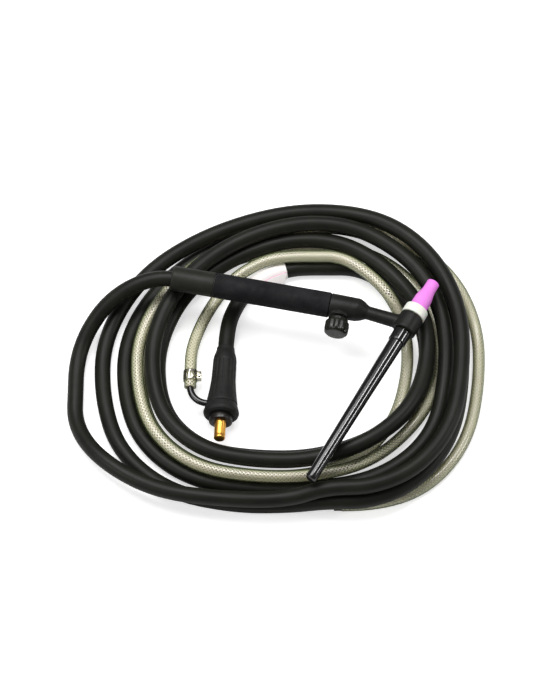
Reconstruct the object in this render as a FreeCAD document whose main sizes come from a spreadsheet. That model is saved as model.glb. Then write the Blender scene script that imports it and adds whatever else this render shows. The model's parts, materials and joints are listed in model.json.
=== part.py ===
import math
import os

import FreeCAD
import Part
import Sketcher
from FreeCAD import Placement, Rotation, Vector

# A gas-valve welding torch that lies on a coil of its own power cable and gas hose.
# Millimetres. Z is up, the origin is on the floor in the middle of the coil.
# The torch lies level: its handle, neck, head, cap and knob axes share one plane above the coil.

SIZES = [
    # Lie of the torch above the coil
    ("torch_height", 41.5),
    ("rear_east", -74.8),
    ("rear_north", 52.6),
    ("handle_turn", -11.22),
    ("neck_turn", -7.2),
    ("head_turn", 71.48),
    # Handle
    ("boot_length", 34.0),
    ("boot_radius", 9.8),
    ("boot_mouth_length", 14.0),
    ("boot_mouth_gap", 1.35),
    ("boot_round", 1.6),
    ("handle_joint_gap", 0.3),
    ("sleeve_length", 91.1),
    ("sleeve_radius", 9.9),
    ("sleeve_round", 0.6),
    ("tube_bore", 7.0),
    ("tube_wall", 1.4),
    ("tube_setback", 2.0),
    ("fit_gap", 0.1),
    # Cable end inside the handle
    ("ferrule_radius", 5.6),
    ("ferrule_length", 42.0),
    ("ferrule_inset", 18.0),
    ("ferrule_collar_length", 5.0),
    ("ferrule_socket_depth", 15.0),
    ("neck_tube_radius", 3.0),
    ("neck_tube_wall", 1.0),
    ("neck_tube_bend", 60.0),
    # Moulded body
    ("spigot_length", 20.4),
    ("spigot_gap", 0.2),
    ("shoulder_length", 22.0),
    ("shoulder_radius", 9.6),
    ("shoulder_front_radius", 9.1),
    ("neck_taper_length", 8.0),
    ("neck_radius", 5.35),
    ("neck_swell", 0.4),
    ("neck_length", 40.6),
    ("neck_root_overlap", 1.2),
    # Head
    ("barrel_radius", 9.5),
    ("barrel_front", 7.9),
    ("barrel_back", 7.5),
    ("barrel_round", 0.8),
    ("core_radius", 6.4),
    ("core_bore", 3.7),
    ("core_wall_gap", 0.4),
    ("seat_gap", 0.15),
    ("thread_gap", 0.25),
    # Gas valve
    ("valve_offset", 8.8),
    ("boss_radius", 6.3),
    ("boss_length", 9.8),
    ("boss_ring_radius", 7.5),
    ("boss_ring_length", 1.5),
    ("seat_radius", 3.4),
    ("seat_length", 4.6),
    ("seat_tube_gap", 0.4),
    ("orifice_radius", 0.8),
    ("orifice_length", 1.6),
    ("stem_radius", 1.5),
    ("stem_length", 15.0),
    ("stem_tip_length", 1.4),
    ("ring_section", 0.85),
    ("knob_radius", 9.65),
    ("knob_length", 12.8),
    ("knob_gap", 1.8),
    ("knob_round", 2.2),
    ("knob_flutes", 10),
    ("flute_radius", 2.4),
    ("flute_depth", 1.1),
    ("flute_length", 10.0),
    # Nozzle side
    ("gasket_length", 8.2),
    ("gasket_radius", 9.6),
    ("gasket_round", 0.9),
    ("nozzle_length", 26.3),
    ("nozzle_base_radius", 6.8),
    ("nozzle_waist_along", 8.0),
    ("nozzle_waist_radius", 6.7),
    ("nozzle_slope_along", 22.0),
    ("nozzle_slope_radius", 5.3),
    ("nozzle_mouth_wall", 1.3),
    ("nozzle_mouth_bore", 3.2),
    ("nozzle_mouth_length", 6.0),
    ("nozzle_mouth_round", 0.5),
    ("nozzle_thread_length", 9.0),
    ("collet_thread_radius", 4.4),
    ("collet_thread_length", 7.0),
    ("collet_nose_radius", 2.5),
    ("collet_nose_length", 6.0),
    ("collet_bore", 1.75),
    ("collet_radius", 1.6),
    ("collet_inner", 0.9),
    ("collet_length", 32.0),
    ("collet_slot_width", 0.4),
    ("collet_slot_length", 14.0),
    # Back cap
    ("cap_thread_length", 6.0),
    ("cap_collar_length", 10.7),
    ("cap_collar_radius", 7.85),
    ("cap_length", 135.5),
    ("cap_root_radius", 7.0),
    ("cap_tip_radius", 5.5),
    ("cap_tip_round", 3.2),
    ("cap_collar_round", 0.7),
    ("cap_bore", 1.7),
    ("cap_wall_end", 6.0),
    ("cap_ring_section", 0.75),
    # Cable and hose
    ("cable_radius", 6.25),
    ("hose_radius", 4.75),
    ("cable_mouth_inset", 2.0),
    ("cable_tail_straight", 18.0),
    ("hose_straight", 16.4),
    ("floor_flat", 0.5),
    ("tag_gap", 0.1),
    ("tag_wall", 0.5),
    # Plug on the far end of the cable
    ("plug_east", -33.0),
    ("plug_north", 6.6),
    ("plug_up", 10.5),
    ("plug_rise", 3.42),
    ("plug_turn", -93.14),
    ("plug_boot_length", 52.5),
    ("plug_boot_lip", 6.9),
    ("plug_boot_waist", 9.4),
    ("plug_boot_end", 12.3),
    ("plug_flutes", 12),
    ("plug_flute_radius", 1.6),
    ("plug_flute_depth", 0.5),
    ("plug_body_length", 10.0),
    ("plug_body_root", 12.6),
    ("plug_body_radius", 14.0),
    ("plug_body_front", 11.5),
    ("plug_flange_length", 4.8),
    ("plug_flange_radius", 9.05),
    ("plug_pin_radius", 4.35),
    ("plug_pin_length", 15.0),
    ("plug_pin_groove", 0.35),
    ("plug_pin_groove_width", 1.0),
    ("plug_pin_nose_length", 4.0),
    ("plug_pin_chamfer", 0.8),
    ("plug_pin_collar_length", 2.4),
    ("plug_core_gap", 0.1),
    # Gas elbow, clamp and screw
    ("elbow_radius", 2.65),
    ("elbow_before_ring", 1.9),
    ("elbow_bore", 1.46),
    ("elbow_straight", 4.8),
    ("elbow_bend", 14.0),
    ("elbow_hole_gap", 0.35),
    ("clamp_gap", 0.3),
    ("clamp_band", 0.6),
    ("clamp_width", 8.5),
    ("clamp_along", 9.5),
    ("clamp_slots", 14),
    ("clamp_slot_width", 0.9),
    ("clamp_slot_length", 5.0),
    ("housing_depth", 3.4),
    ("housing_width", 6.0),
    ("housing_height", 5.6),
    ("screw_radius", 1.0),
    ("screw_head_radius", 1.7),
    ("screw_head_length", 1.5),
    ("screw_slot_width", 0.6),
    ("screw_slot_depth", 0.8),
    # Hidden end of the hose
    ("hose_sleeve_radius", 4.3),
    ("hose_sleeve_length", 6.0),
    ("nipple_radius", 2.5),
    ("nipple_root_radius", 2.3),
    ("nipple_bore", 1.5),
    ("nipple_reach", 7.0),
    ("nipple_inset", 5.0),
]

doc = FreeCAD.newDocument("Torch")
sheet = doc.addObject("Spreadsheet::Sheet", "Sizes")
for row, (alias, number) in enumerate(SIZES, start=1):
    sheet.set("A%d" % row, alias)
    sheet.set("B%d" % row, str(number))
    sheet.setAlias("B%d" % row, alias)
doc.recompute()

PIECES = []
UP = Vector(0, 0, 1)


def size(alias):
    return float(getattr(sheet, alias))


def value(text):
    """Works out a sum of size names and numbers, such as 'tube_bore + 0.5*tube_wall'."""
    result = 0.0
    sign = 1.0
    for word in text.split():
        if word in "+-":
            sign = 1.0 if word == "+" else -1.0
            continue
        product = sign
        for factor in word.split("*"):
            product *= size(factor) if factor[0].isalpha() else float(factor)
        result += product
    return result


def formula(text):
    """The same sum as an expression over the sheet's cells."""
    words = []
    for word in text.split():
        factors = ["Sizes." + f if f[0].isalpha() else f for f in word.split("*")]
        words.append(word if word in "+-" else "*".join(factors))
    return " ".join(words)


def minus(*terms):
    """Joins sums with minus signs; each term after the first is a single word."""
    return " - ".join(terms)


def origin_part(body, role):
    for feature in body.Origin.OriginFeatures:
        if feature.Role == role:
            return feature
    raise ValueError(role)


def new_body(label, placement):
    body = doc.addObject("PartDesign::Body", label)
    body.Label = label
    body.Placement = placement
    PIECES.append(body)
    return body


def new_sketch(body, name, role="XY_Plane", offset=None):
    sketch = body.newObject("Sketcher::SketchObject", body.Label + "_" + name)
    sketch.AttachmentSupport = [(origin_part(body, role), "")]
    sketch.MapMode = "FlatFace"
    if offset is not None:
        sketch.AttachmentOffset = offset
    return sketch


def hold(sketch, kind, line, end, text):
    """Ties one coordinate of a point to a sum of sizes."""
    if text == "0":
        sketch.addConstraint(Sketcher.Constraint("PointOnObject", line, end, -1 if kind == "DistanceY" else -2))
        return
    index = sketch.addConstraint(Sketcher.Constraint(kind, -1, 1, line, end, value(text)))
    sketch.setExpression("Constraints[%d]" % index, formula(text))


def draw_outline(sketch, outline):
    """Closed outline through corners given as (along, across) sums."""
    corners = [Vector(value(a), value(b), 0) for a, b in outline]
    count = len(corners)
    for i in range(count):
        sketch.addGeometry(Part.LineSegment(corners[i], corners[(i + 1) % count]))
    for i in range(count):
        sketch.addConstraint(Sketcher.Constraint("Coincident", i, 2, (i + 1) % count, 1))
    for i, (along, across) in enumerate(outline):
        hold(sketch, "DistanceX", i, 1, along)
        hold(sketch, "DistanceY", i, 1, across)


def draw_circle(sketch, along, across, radius):
    line = sketch.addGeometry(Part.Circle(Vector(value(along), value(across), 0), UP, value(radius)))
    hold(sketch, "DistanceX", line, 3, along)
    hold(sketch, "DistanceY", line, 3, across)
    index = sketch.addConstraint(Sketcher.Constraint("Radius", line, value(radius)))
    sketch.setExpression("Constraints[%d]" % index, formula(radius))


def turn(body, name, outline, offset=None, cut=False):
    """Turns an outline round its own X axis, as new material or as a bore."""
    sketch = new_sketch(body, name + "_outline", offset=offset)
    draw_outline(sketch, outline)
    feature = body.newObject("PartDesign::Groove" if cut else "PartDesign::Revolution", body.Label + "_" + name)
    feature.Profile = sketch
    feature.ReferenceAxis = (sketch, ["H_Axis"])
    feature.Angle = 360
    return feature


def turned(label, outline, placement):
    body = new_body(label, placement)
    turn(body, "turned", outline)
    return body


def torus_ring(label, middle_radius, section_radius, placement):
    """O-ring: a circle turned round the X axis."""
    body = new_body(label, placement)
    sketch = new_sketch(body, "section")
    draw_circle(sketch, section_radius, middle_radius, section_radius)
    feature = body.newObject("PartDesign::Revolution", label + "_turned")
    feature.Profile = sketch
    feature.ReferenceAxis = (sketch, ["H_Axis"])
    feature.Angle = 360
    return body


def rims(body, places):
    """Names of the round edges at the given (along, radius) places."""
    doc.recompute()
    names = []
    for number, edge in enumerate(body.Tip.Shape.Edges, start=1):
        curve = edge.Curve
        if not isinstance(curve, Part.Circle):
            continue
        for along, radius in places:
            if abs(curve.Center.x - value(along)) < 0.01 and abs(curve.Radius - value(radius)) < 0.01:
                names.append("Edge%d" % number)
                break
    return names


def round_rims(body, name, places, radius):
    names = rims(body, places)
    base = body.Tip
    feature = body.newObject("PartDesign::Fillet", body.Label + "_" + name)
    feature.Base = (base, names)
    feature.setExpression("Radius", formula(radius))
    return feature


def pocket(body, name, sketch, length, towards_normal=False, both_ways=False):
    doc.recompute()
    before = body.Tip.Shape.Volume
    feature = body.newObject("PartDesign::Pocket", body.Label + "_" + name)
    feature.Profile = sketch
    feature.setExpression("Length", formula(length))
    feature.Reversed = towards_normal
    feature.Midplane = both_ways
    doc.recompute()
    if feature.Shape.Volume >= before:
        raise ValueError("pocket cuts nothing: " + feature.Name)
    return feature


def pattern(body, name, feature, axis_role, count, sweep=360):
    """Repeats a feature round an axis; count is the name of a size or a number."""
    polar = body.newObject("PartDesign::PolarPattern", body.Label + "_" + name)
    polar.Originals = [feature]
    polar.Axis = (origin_part(body, axis_role), [""])
    polar.Angle = sweep
    if isinstance(count, str):
        polar.Occurrences = int(round(size(count)))
        polar.setExpression("Occurrences", formula(count))
    else:
        polar.Occurrences = count
    body.Tip = polar
    return polar


def turned_by(degrees):
    return Rotation(UP, degrees)


# Frames along the torch, all in the plane of its axes

torch = Placement(Vector(size("rear_east"), size("rear_north"), size("torch_height")),
                  turned_by(size("handle_turn")))
FRONT = "boot_length + handle_joint_gap + sleeve_length"
BEND = FRONT + " + shoulder_length"


def along_handle(text):
    return torch.multiply(Placement(Vector(value(text), 0, 0), Rotation()))


neck_offset = Placement(Vector(value(BEND), 0, 0), turned_by(size("neck_turn")))
head_centre = neck_offset.multVec(Vector(size("neck_length"), 0, 0))
head_offset = Placement(head_centre, turned_by(size("head_turn")))
cap_offset = Placement(head_centre, turned_by(size("head_turn") + 180))
valve_offset = Placement(Vector(value(FRONT + " + valve_offset"), 0, 0), turned_by(-90))


def from_head(text, forwards=True):
    """Frame on the head axis, its X towards the nozzle or towards the back cap."""
    frame = head_offset if forwards else cap_offset
    return torch.multiply(frame).multiply(Placement(Vector(value(text), 0, 0), Rotation()))


def from_valve(text):
    return torch.multiply(valve_offset).multiply(Placement(Vector(value(text), 0, 0), Rotation()))


# Handle: rear boot, grip sleeve and the stiff tube inside them

TUBE_OUT = "tube_bore + tube_wall"
BOOT_BORE = TUBE_OUT + " + fit_gap"
MOUTH = "cable_radius + boot_mouth_gap"
boot = turned("handle_rear_boot", [
    ("0", MOUTH), ("boot_mouth_length", MOUTH), ("boot_mouth_length", BOOT_BORE),
    ("boot_length", BOOT_BORE), ("boot_length", "boot_radius"), ("0", "boot_radius")], along_handle("0"))
round_rims(boot, "round", [("0", "boot_radius")], "boot_round")

sleeve = turned("handle_sleeve", [
    ("0", BOOT_BORE), ("sleeve_length", BOOT_BORE), ("sleeve_length", "sleeve_radius"), ("0", "sleeve_radius")],
    along_handle("boot_length + handle_joint_gap"))
round_rims(sleeve, "round", [("0", "sleeve_radius"), ("sleeve_length", "sleeve_radius")], "sleeve_round")

TUBE_LENGTH = minus(FRONT, "tube_setback", "boot_mouth_length")
turned("handle_tube", [
    ("0", "tube_bore"), (TUBE_LENGTH, "tube_bore"), (TUBE_LENGTH, TUBE_OUT), ("0", TUBE_OUT)],
    along_handle("boot_mouth_length"))

# Cable ferrule with a centring collar, and the tube that carries current and gas through the neck

COLLAR_RADIUS = minus("tube_bore", "fit_gap")
COLLAR_START = minus("ferrule_length", "2*ferrule_collar_length")
COLLAR_END = minus("ferrule_length", "ferrule_collar_length")
SOCKET_START = minus("ferrule_length", "ferrule_socket_depth")
SOCKET_RADIUS = "neck_tube_radius + fit_gap"
turned("cable_ferrule", [
    ("0", "0"), ("0", "ferrule_radius"), (COLLAR_START, "ferrule_radius"), (COLLAR_START, COLLAR_RADIUS),
    (COLLAR_END, COLLAR_RADIUS), (COLLAR_END, "ferrule_radius"), ("ferrule_length", "ferrule_radius"),
    ("ferrule_length", SOCKET_RADIUS), (SOCKET_START, SOCKET_RADIUS), (SOCKET_START, "0")],
    along_handle("ferrule_inset"))

tube_start = value("ferrule_inset + ferrule_length - ferrule_socket_depth + fit_gap")
tube_run = value(BEND) - tube_start
neck_end = value("neck_length - core_radius - core_wall_gap - 0.2*neck_tube_radius")
neck_lean = math.radians(size("neck_turn"))
bend_setback = size("neck_tube_bend") * math.tan(abs(neck_lean) / 2)
neck_tube = new_body("neck_tube", torch.multiply(Placement(Vector(tube_start, 0, 0), Rotation())))
spine = new_sketch(neck_tube, "spine")
bend_start = Vector(tube_run - bend_setback, 0, 0)
bend_end = Vector(tube_run + bend_setback * math.cos(neck_lean), bend_setback * math.sin(neck_lean), 0)
bend_middle = Vector(bend_start.x + size("neck_tube_bend") * math.sin(abs(neck_lean) / 2),
                     -size("neck_tube_bend") * (1 - math.cos(neck_lean / 2)), 0)
tube_tip = Vector(tube_run + neck_end * math.cos(neck_lean), neck_end * math.sin(neck_lean), 0)
spine.addGeometry(Part.LineSegment(Vector(0, 0, 0), bend_start))
spine.addGeometry(Part.Arc(bend_start, bend_middle, bend_end))
spine.addGeometry(Part.LineSegment(bend_end, tube_tip))
section = new_sketch(neck_tube, "section", "YZ_Plane")
draw_circle(section, "0", "0", "neck_tube_radius")
draw_circle(section, "0", "0", minus("neck_tube_radius", "neck_tube_wall"))
pipe = neck_tube.newObject("PartDesign::AdditivePipe", "neck_tube_pipe")
pipe.Profile = section
pipe.Spine = (spine, ["Edge1", "Edge2", "Edge3"])

# Moulded body: spigot in the handle, shoulder, neck, head barrel and valve boss, with its bores

SPIGOT_RADIUS = minus("tube_bore", "spigot_gap")
SPIGOT_START = minus(FRONT, "spigot_length")
BARREL = "barrel_front + barrel_back"
moulding = new_body("torch_body", torch)
turn(moulding, "shoulder", [
    (SPIGOT_START, "0"), (SPIGOT_START, SPIGOT_RADIUS), (FRONT, SPIGOT_RADIUS),
    (FRONT + " + handle_joint_gap", SPIGOT_RADIUS), (FRONT + " + handle_joint_gap", "shoulder_radius"),
    (BEND, "shoulder_front_radius"), (BEND, "0")])
turn(moulding, "neck", [
    ("0", "0"), ("0", "shoulder_front_radius"), ("neck_root_overlap", "shoulder_front_radius"),
    ("neck_root_overlap + 0.5*neck_taper_length", "0.62*shoulder_front_radius + 0.38*neck_radius"),
    ("neck_root_overlap + neck_taper_length", "neck_radius"),
    ("neck_root_overlap + neck_length", "neck_radius + neck_swell"), ("neck_root_overlap + neck_length", "0")],
    neck_offset.multiply(Placement(Vector(-size("neck_root_overlap"), 0, 0), Rotation())))
BARREL_OFFSET = head_offset.multiply(Placement(Vector(-size("barrel_back"), 0, 0), Rotation()))
turn(moulding, "barrel", [
    ("0", "0"), ("0", minus("barrel_radius", "barrel_round")), ("barrel_round", "barrel_radius"),
    (minus(BARREL, "barrel_round"), "barrel_radius"), (BARREL, minus("barrel_radius", "barrel_round")),
    (BARREL, "0")], BARREL_OFFSET)
turn(moulding, "boss", [
    ("0", "0"), ("0", "boss_radius"), (minus("boss_length", "boss_ring_length"), "boss_radius"),
    (minus("boss_length", "boss_ring_length"), "boss_ring_radius"), ("boss_length", "boss_ring_radius"),
    ("boss_length", "0")], valve_offset)
PASSAGE = "neck_tube_radius + 4*fit_gap"
PASSAGE_START = minus(SPIGOT_START, "fit_gap")
turn(moulding, "passage", [
    (PASSAGE_START, "0"), (PASSAGE_START, PASSAGE), (BEND, PASSAGE), (BEND, "0")], cut=True)
turn(moulding, "neck_passage", [
    ("0", "0"), ("0", PASSAGE), ("neck_root_overlap + neck_length", PASSAGE),
    ("neck_root_overlap + neck_length", "0")],
    neck_offset.multiply(Placement(Vector(-size("neck_root_overlap"), 0, 0), Rotation())), cut=True)
turn(moulding, "core_bore", [
    ("0", "0"), ("0", "core_radius + fit_gap"), (BARREL + " + 2*fit_gap", "core_radius + fit_gap"),
    (BARREL + " + 2*fit_gap", "0")],
    head_offset.multiply(Placement(Vector(-size("barrel_back") - size("fit_gap"), 0, 0), Rotation())), cut=True)
SEAT_START = "neck_tube_radius + seat_tube_gap"
turn(moulding, "valve_bore", [
    ("0", "0"), ("0", "seat_radius + fit_gap"), ("boss_length + fit_gap", "seat_radius + fit_gap"),
    ("boss_length + fit_gap", "0")], valve_offset, cut=True)

# Brass head core: bored through, with a counterbore for the cap's sealing ring

RING_POCKET_RADIUS = minus("core_bore", "thread_gap") + " + 2*cap_ring_section + 4*fit_gap"
RING_POCKET_DEPTH = "2*cap_ring_section + 2*seat_gap"
turned("head_core", [
    ("0", RING_POCKET_RADIUS), ("0", "core_radius"), (BARREL, "core_radius"), (BARREL, "core_bore"),
    (RING_POCKET_DEPTH, "core_bore"), (RING_POCKET_DEPTH, RING_POCKET_RADIUS)],
    from_head("-1*barrel_back"))

# Gas valve: seat, needle stem, sealing ring and fluted knob; the knob carries the stem outwards

STEM_BORE = "stem_radius + thread_gap"
STEM_START = SEAT_START + " + orifice_length + seat_gap"
turned("valve_seat", [
    ("0", "orifice_radius"), ("0", "seat_radius"), ("seat_length", "seat_radius"), ("seat_length", STEM_BORE),
    ("orifice_length", STEM_BORE), ("orifice_length", "orifice_radius")], from_valve(SEAT_START))
torus_ring("stem_o_ring", "stem_radius + ring_section + fit_gap", "ring_section",
           from_valve(SEAT_START + " + seat_length + fit_gap"))
turned("valve_stem", [
    ("0", "0"), ("0", "0.5*orifice_radius"), ("stem_tip_length", "stem_radius"), ("stem_length", "stem_radius"),
    ("stem_length", "0")], from_valve(STEM_START))
KNOB_START = "boss_length + knob_gap"
STEM_IN_KNOB = minus(STEM_START + " + stem_length + 2*seat_gap", "boss_length", "knob_gap")
knob = turned("gas_knob", [
    ("0", "stem_radius + fit_gap"), ("0", "knob_radius"), ("knob_length", "knob_radius"), ("knob_length", "0"),
    (STEM_IN_KNOB, "0"), (STEM_IN_KNOB, "stem_radius + fit_gap")], from_valve(KNOB_START))
round_rims(knob, "round", [("knob_length", "knob_radius")], "knob_round")
flute_sketch = new_sketch(knob, "flute_circle", "YZ_Plane",
                          Placement(Vector(0, 0, size("flute_length")), Rotation()))
flute_sketch.setExpression("AttachmentOffset.Base.z", formula("flute_length"))
draw_circle(flute_sketch, "knob_radius + flute_radius - flute_depth", "0", "flute_radius")
flute = pocket(knob, "flute", flute_sketch, "flute_length")
pattern(knob, "flutes", flute, "X_Axis", "knob_flutes")

# Nozzle side: collet body screwed into the core, collet, insulating ring and ceramic nozzle

CORE_THREAD = minus("core_bore", "fit_gap")
GASKET_START = "barrel_front + seat_gap"
NOZZLE_START = GASKET_START + " + gasket_length + seat_gap"
turned("collet_body", [
    ("0", "collet_bore"), ("0", CORE_THREAD), ("barrel_front", CORE_THREAD),
    ("barrel_front", "collet_thread_radius"), (NOZZLE_START + " + collet_thread_length", "collet_thread_radius"),
    (NOZZLE_START + " + collet_thread_length", "collet_nose_radius"),
    (NOZZLE_START + " + collet_thread_length + collet_nose_length", "collet_nose_radius"),
    (NOZZLE_START + " + collet_thread_length + collet_nose_length", "collet_bore")],
    from_head("0"))
collet = turned("collet", [
    ("0", "collet_inner"), ("0", "collet_radius"), ("collet_length", "collet_radius"),
    ("collet_length", "collet_inner")], from_head("0"))
slot_sketch = new_sketch(collet, "slot_outline")
draw_outline(slot_sketch, [
    (minus("collet_length", "collet_slot_length"), "-0.5*collet_slot_width"),
    ("collet_length + collet_slot_width", "-0.5*collet_slot_width"),
    ("collet_length + collet_slot_width", "0.5*collet_slot_width"),
    (minus("collet_length", "collet_slot_length"), "0.5*collet_slot_width")])
slot = pocket(collet, "slot", slot_sketch, "3*collet_radius", both_ways=True)
pattern(collet, "slots", slot, "X_Axis", 2, sweep=90)

gasket = turned("nozzle_gasket", [
    ("0", "collet_thread_radius + thread_gap"), ("0", "gasket_radius"), ("gasket_length", "gasket_radius"),
    ("gasket_length", "collet_thread_radius + thread_gap")], from_head(GASKET_START))
round_rims(gasket, "round", [("0", "gasket_radius"), ("gasket_length", "gasket_radius")], "gasket_round")

THREAD_BORE = "collet_thread_radius + thread_gap"
MOUTH_RADIUS = "nozzle_mouth_bore + nozzle_mouth_wall"
nozzle = turned("nozzle", [
    ("0", THREAD_BORE), ("0", "nozzle_base_radius"), ("nozzle_waist_along", "nozzle_waist_radius"),
    ("nozzle_slope_along", "nozzle_slope_radius"), ("nozzle_length", MOUTH_RADIUS),
    ("nozzle_length", "nozzle_mouth_bore"), (minus("nozzle_length", "nozzle_mouth_length"), "nozzle_mouth_bore"),
    ("nozzle_thread_length + 3*nozzle_mouth_wall", "nozzle_mouth_bore + 3*fit_gap"),
    ("nozzle_thread_length", THREAD_BORE)], from_head(NOZZLE_START))
round_rims(nozzle, "round", [("nozzle_length", MOUTH_RADIUS), ("0", "nozzle_base_radius")], "nozzle_mouth_round")

# Back cap with a threaded root, a collar, a long tapering shell and a rounded tip

CAP_THREAD = minus("core_bore", "thread_gap")
COLLAR = "cap_thread_length + seat_gap"
SHELL = COLLAR + " + cap_collar_length"
TIP = SHELL + " + cap_length"
cap = turned("back_cap", [
    ("0", "cap_bore"), ("0", CAP_THREAD), (COLLAR, CAP_THREAD), (COLLAR, "cap_collar_radius"),
    (SHELL, "cap_collar_radius"), (SHELL, "cap_root_radius"), (TIP, "cap_tip_radius"), (TIP, "0"),
    (minus(TIP, "cap_wall_end"), "0"), (minus(TIP, "cap_wall_end"), "cap_bore")],
    from_head("barrel_back - cap_thread_length", forwards=False))
round_rims(cap, "tip_round", [(TIP, "cap_tip_radius")], "cap_tip_round")
round_rims(cap, "collar_round", [(COLLAR, "cap_collar_radius"), (SHELL, "cap_collar_radius")], "cap_collar_round")
torus_ring("cap_o_ring", CAP_THREAD + " + cap_ring_section + fit_gap", "cap_ring_section",
           from_head(minus("barrel_back", "2*cap_ring_section", "seat_gap"), forwards=False))

# Plug: fluted boot, wide ring, inner block, flange disc and pin on one slightly rising axis

pitch = math.radians(size("plug_rise"))
heading = math.radians(size("plug_turn"))
plug_way = Vector(math.cos(pitch) * math.cos(heading), math.cos(pitch) * math.sin(heading), math.sin(pitch))
plug_side = Vector(-math.sin(heading), math.cos(heading), 0)
plug_frame = Placement(Vector(size("plug_east"), size("plug_north"), size("plug_up")),
                       Rotation(plug_way, plug_side, plug_way.cross(plug_side), "XYZ"))


def along_plug(text):
    return plug_frame.multiply(Placement(Vector(value(text), 0, 0), Rotation()))


CORE = "cable_radius"
PLUG_BORE = "cable_radius + plug_core_gap"
FLANGE_START = "plug_boot_length + plug_body_length"
boot_outline = [
    ("0", PLUG_BORE), ("0", "plug_boot_lip"), ("0.07*plug_boot_length", "1.06*plug_boot_lip"),
    ("0.158*plug_boot_length", "0.926*plug_boot_waist"), ("0.229*plug_boot_length", "0.984*plug_boot_waist"),
    ("0.387*plug_boot_length", "plug_boot_waist"), ("0.562*plug_boot_length", "1.027*plug_boot_waist"),
    ("0.737*plug_boot_length", "1.112*plug_boot_waist"), ("0.859*plug_boot_length", "0.927*plug_boot_end"),
    ("0.975*plug_boot_length", "plug_boot_end"), ("plug_boot_length", "0.951*plug_boot_end"),
    ("plug_boot_length", PLUG_BORE)]
plug_boot = turned("plug_boot", boot_outline, along_plug("0"))


def elbow_hole(body, along):
    """Hole in the plug's side for the gas elbow."""
    sketch = new_sketch(body, "elbow_circle", "XZ_Plane")
    draw_circle(sketch, along, "0", "elbow_radius + elbow_hole_gap")
    pocket(body, "elbow_hole", sketch, "2*plug_body_radius", towards_normal=True)


flutes = []
for step, (along, radius) in enumerate((("0.25*plug_boot_length", "0.984*plug_boot_waist"),
                                        ("0.562*plug_boot_length", "1.027*plug_boot_waist"),
                                        ("0.9*plug_boot_length", "0.955*plug_boot_end"))):
    station = new_sketch(plug_boot, "flute_circle%s" % "abc"[step], "YZ_Plane",
                         Placement(Vector(0, 0, value(along)), Rotation()))
    station.setExpression("AttachmentOffset.Base.z", formula(along))
    draw_circle(station, "0", radius + " + plug_flute_radius - plug_flute_depth", "plug_flute_radius")
    flutes.append(station)
plug_flute = plug_boot.newObject("PartDesign::SubtractiveLoft", "plug_boot_flute")
plug_flute.Profile = flutes[0]
plug_flute.Sections = flutes[1:]
plug_flute.Ruled = True
doc.recompute()
pattern(plug_boot, "flutes", plug_flute, "X_Axis", "plug_flutes")
ELBOW_ALONG = "plug_boot_length - elbow_before_ring"
elbow_hole(plug_boot, ELBOW_ALONG)

plug_ring = turned("plug_body", [
    ("0", PLUG_BORE), ("0", "0.952*plug_body_root"), ("0.08*plug_body_length", "plug_body_root"),
    ("0.3*plug_body_length", "1.044*plug_body_root"), ("0.64*plug_body_length", "plug_body_radius"),
    ("0.85*plug_body_length", "0.95*plug_body_radius"), ("plug_body_length", "plug_body_front"),
    ("plug_body_length", PLUG_BORE)], along_plug("plug_boot_length"))
elbow_hole(plug_ring, "-1*elbow_before_ring")
PIN_SOCKET = minus(FLANGE_START, "plug_pin_collar_length")
turned("plug_core", [
    ("0", "0"), ("0", CORE), (PIN_SOCKET, CORE), (PIN_SOCKET, "0")], along_plug("0"))
turned("plug_flange", [
    ("0", "plug_pin_radius + fit_gap"), ("0", "plug_flange_radius"), ("plug_flange_length", "plug_flange_radius"),
    ("plug_flange_length", "plug_pin_radius + fit_gap")], along_plug(FLANGE_START))
PIN_COLLAR = "plug_pin_collar_length"
PIN_END = PIN_COLLAR + " + plug_flange_length + plug_pin_length"
GROOVE_START = minus(PIN_END, "plug_pin_nose_length")
GROOVE_END = GROOVE_START + " + plug_pin_groove_width"
turned("plug_pin", [
    ("0", "0"), ("0", CORE), (PIN_COLLAR, CORE), (PIN_COLLAR, "plug_pin_radius"),
    (GROOVE_START, "plug_pin_radius"), (GROOVE_START, "plug_pin_radius - plug_pin_groove"),
    (GROOVE_END, "plug_pin_radius - plug_pin_groove"), (GROOVE_END, "plug_pin_radius"),
    (minus(PIN_END, "plug_pin_chamfer"), "plug_pin_radius"), (PIN_END, "plug_pin_radius - plug_pin_chamfer"),
    (PIN_END, "0")], along_plug(PIN_SOCKET))

# Small bent tube from the plug's side to the hose, level, square to the plug, turning until it points north

elbow_root = along_plug(ELBOW_ALONG).Base
elbow_heading = size("plug_turn") + 270
elbow = new_body("gas_elbow", Placement(elbow_root, turned_by(elbow_heading)))
elbow_start = value("cable_radius + 4*fit_gap")
elbow_corner = elbow_start + size("elbow_straight")
elbow_bend = size("elbow_bend")
elbow_sweep = math.radians(elbow_heading - 90)


def on_elbow_bend(angle):
    return Vector(elbow_corner + elbow_bend * math.sin(angle), elbow_bend * (math.cos(angle) - 1), 0)


spine = new_sketch(elbow, "spine")
spine.addGeometry(Part.LineSegment(Vector(elbow_start, 0, 0), Vector(elbow_corner, 0, 0)))
spine.addGeometry(Part.Arc(on_elbow_bend(0), on_elbow_bend(elbow_sweep / 2), on_elbow_bend(elbow_sweep)))
section = new_sketch(elbow, "section", "YZ_Plane", Placement(Vector(0, 0, elbow_start), Rotation()))
draw_circle(section, "0", "0", "elbow_radius")
draw_circle(section, "0", "0", "elbow_bore")
pipe = elbow.newObject("PartDesign::AdditivePipe", "gas_elbow_pipe")
pipe.Profile = section
pipe.Spine = (spine, ["Edge1", "Edge2"])
hose_start = elbow.Placement.multVec(on_elbow_bend(elbow_sweep))
print("hose starts at (%.2f, %.2f, %.2f)" % tuple(hose_start))

# Perforated clamp band round the hose, its screw housing on the side of the plug, and the screw

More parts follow.
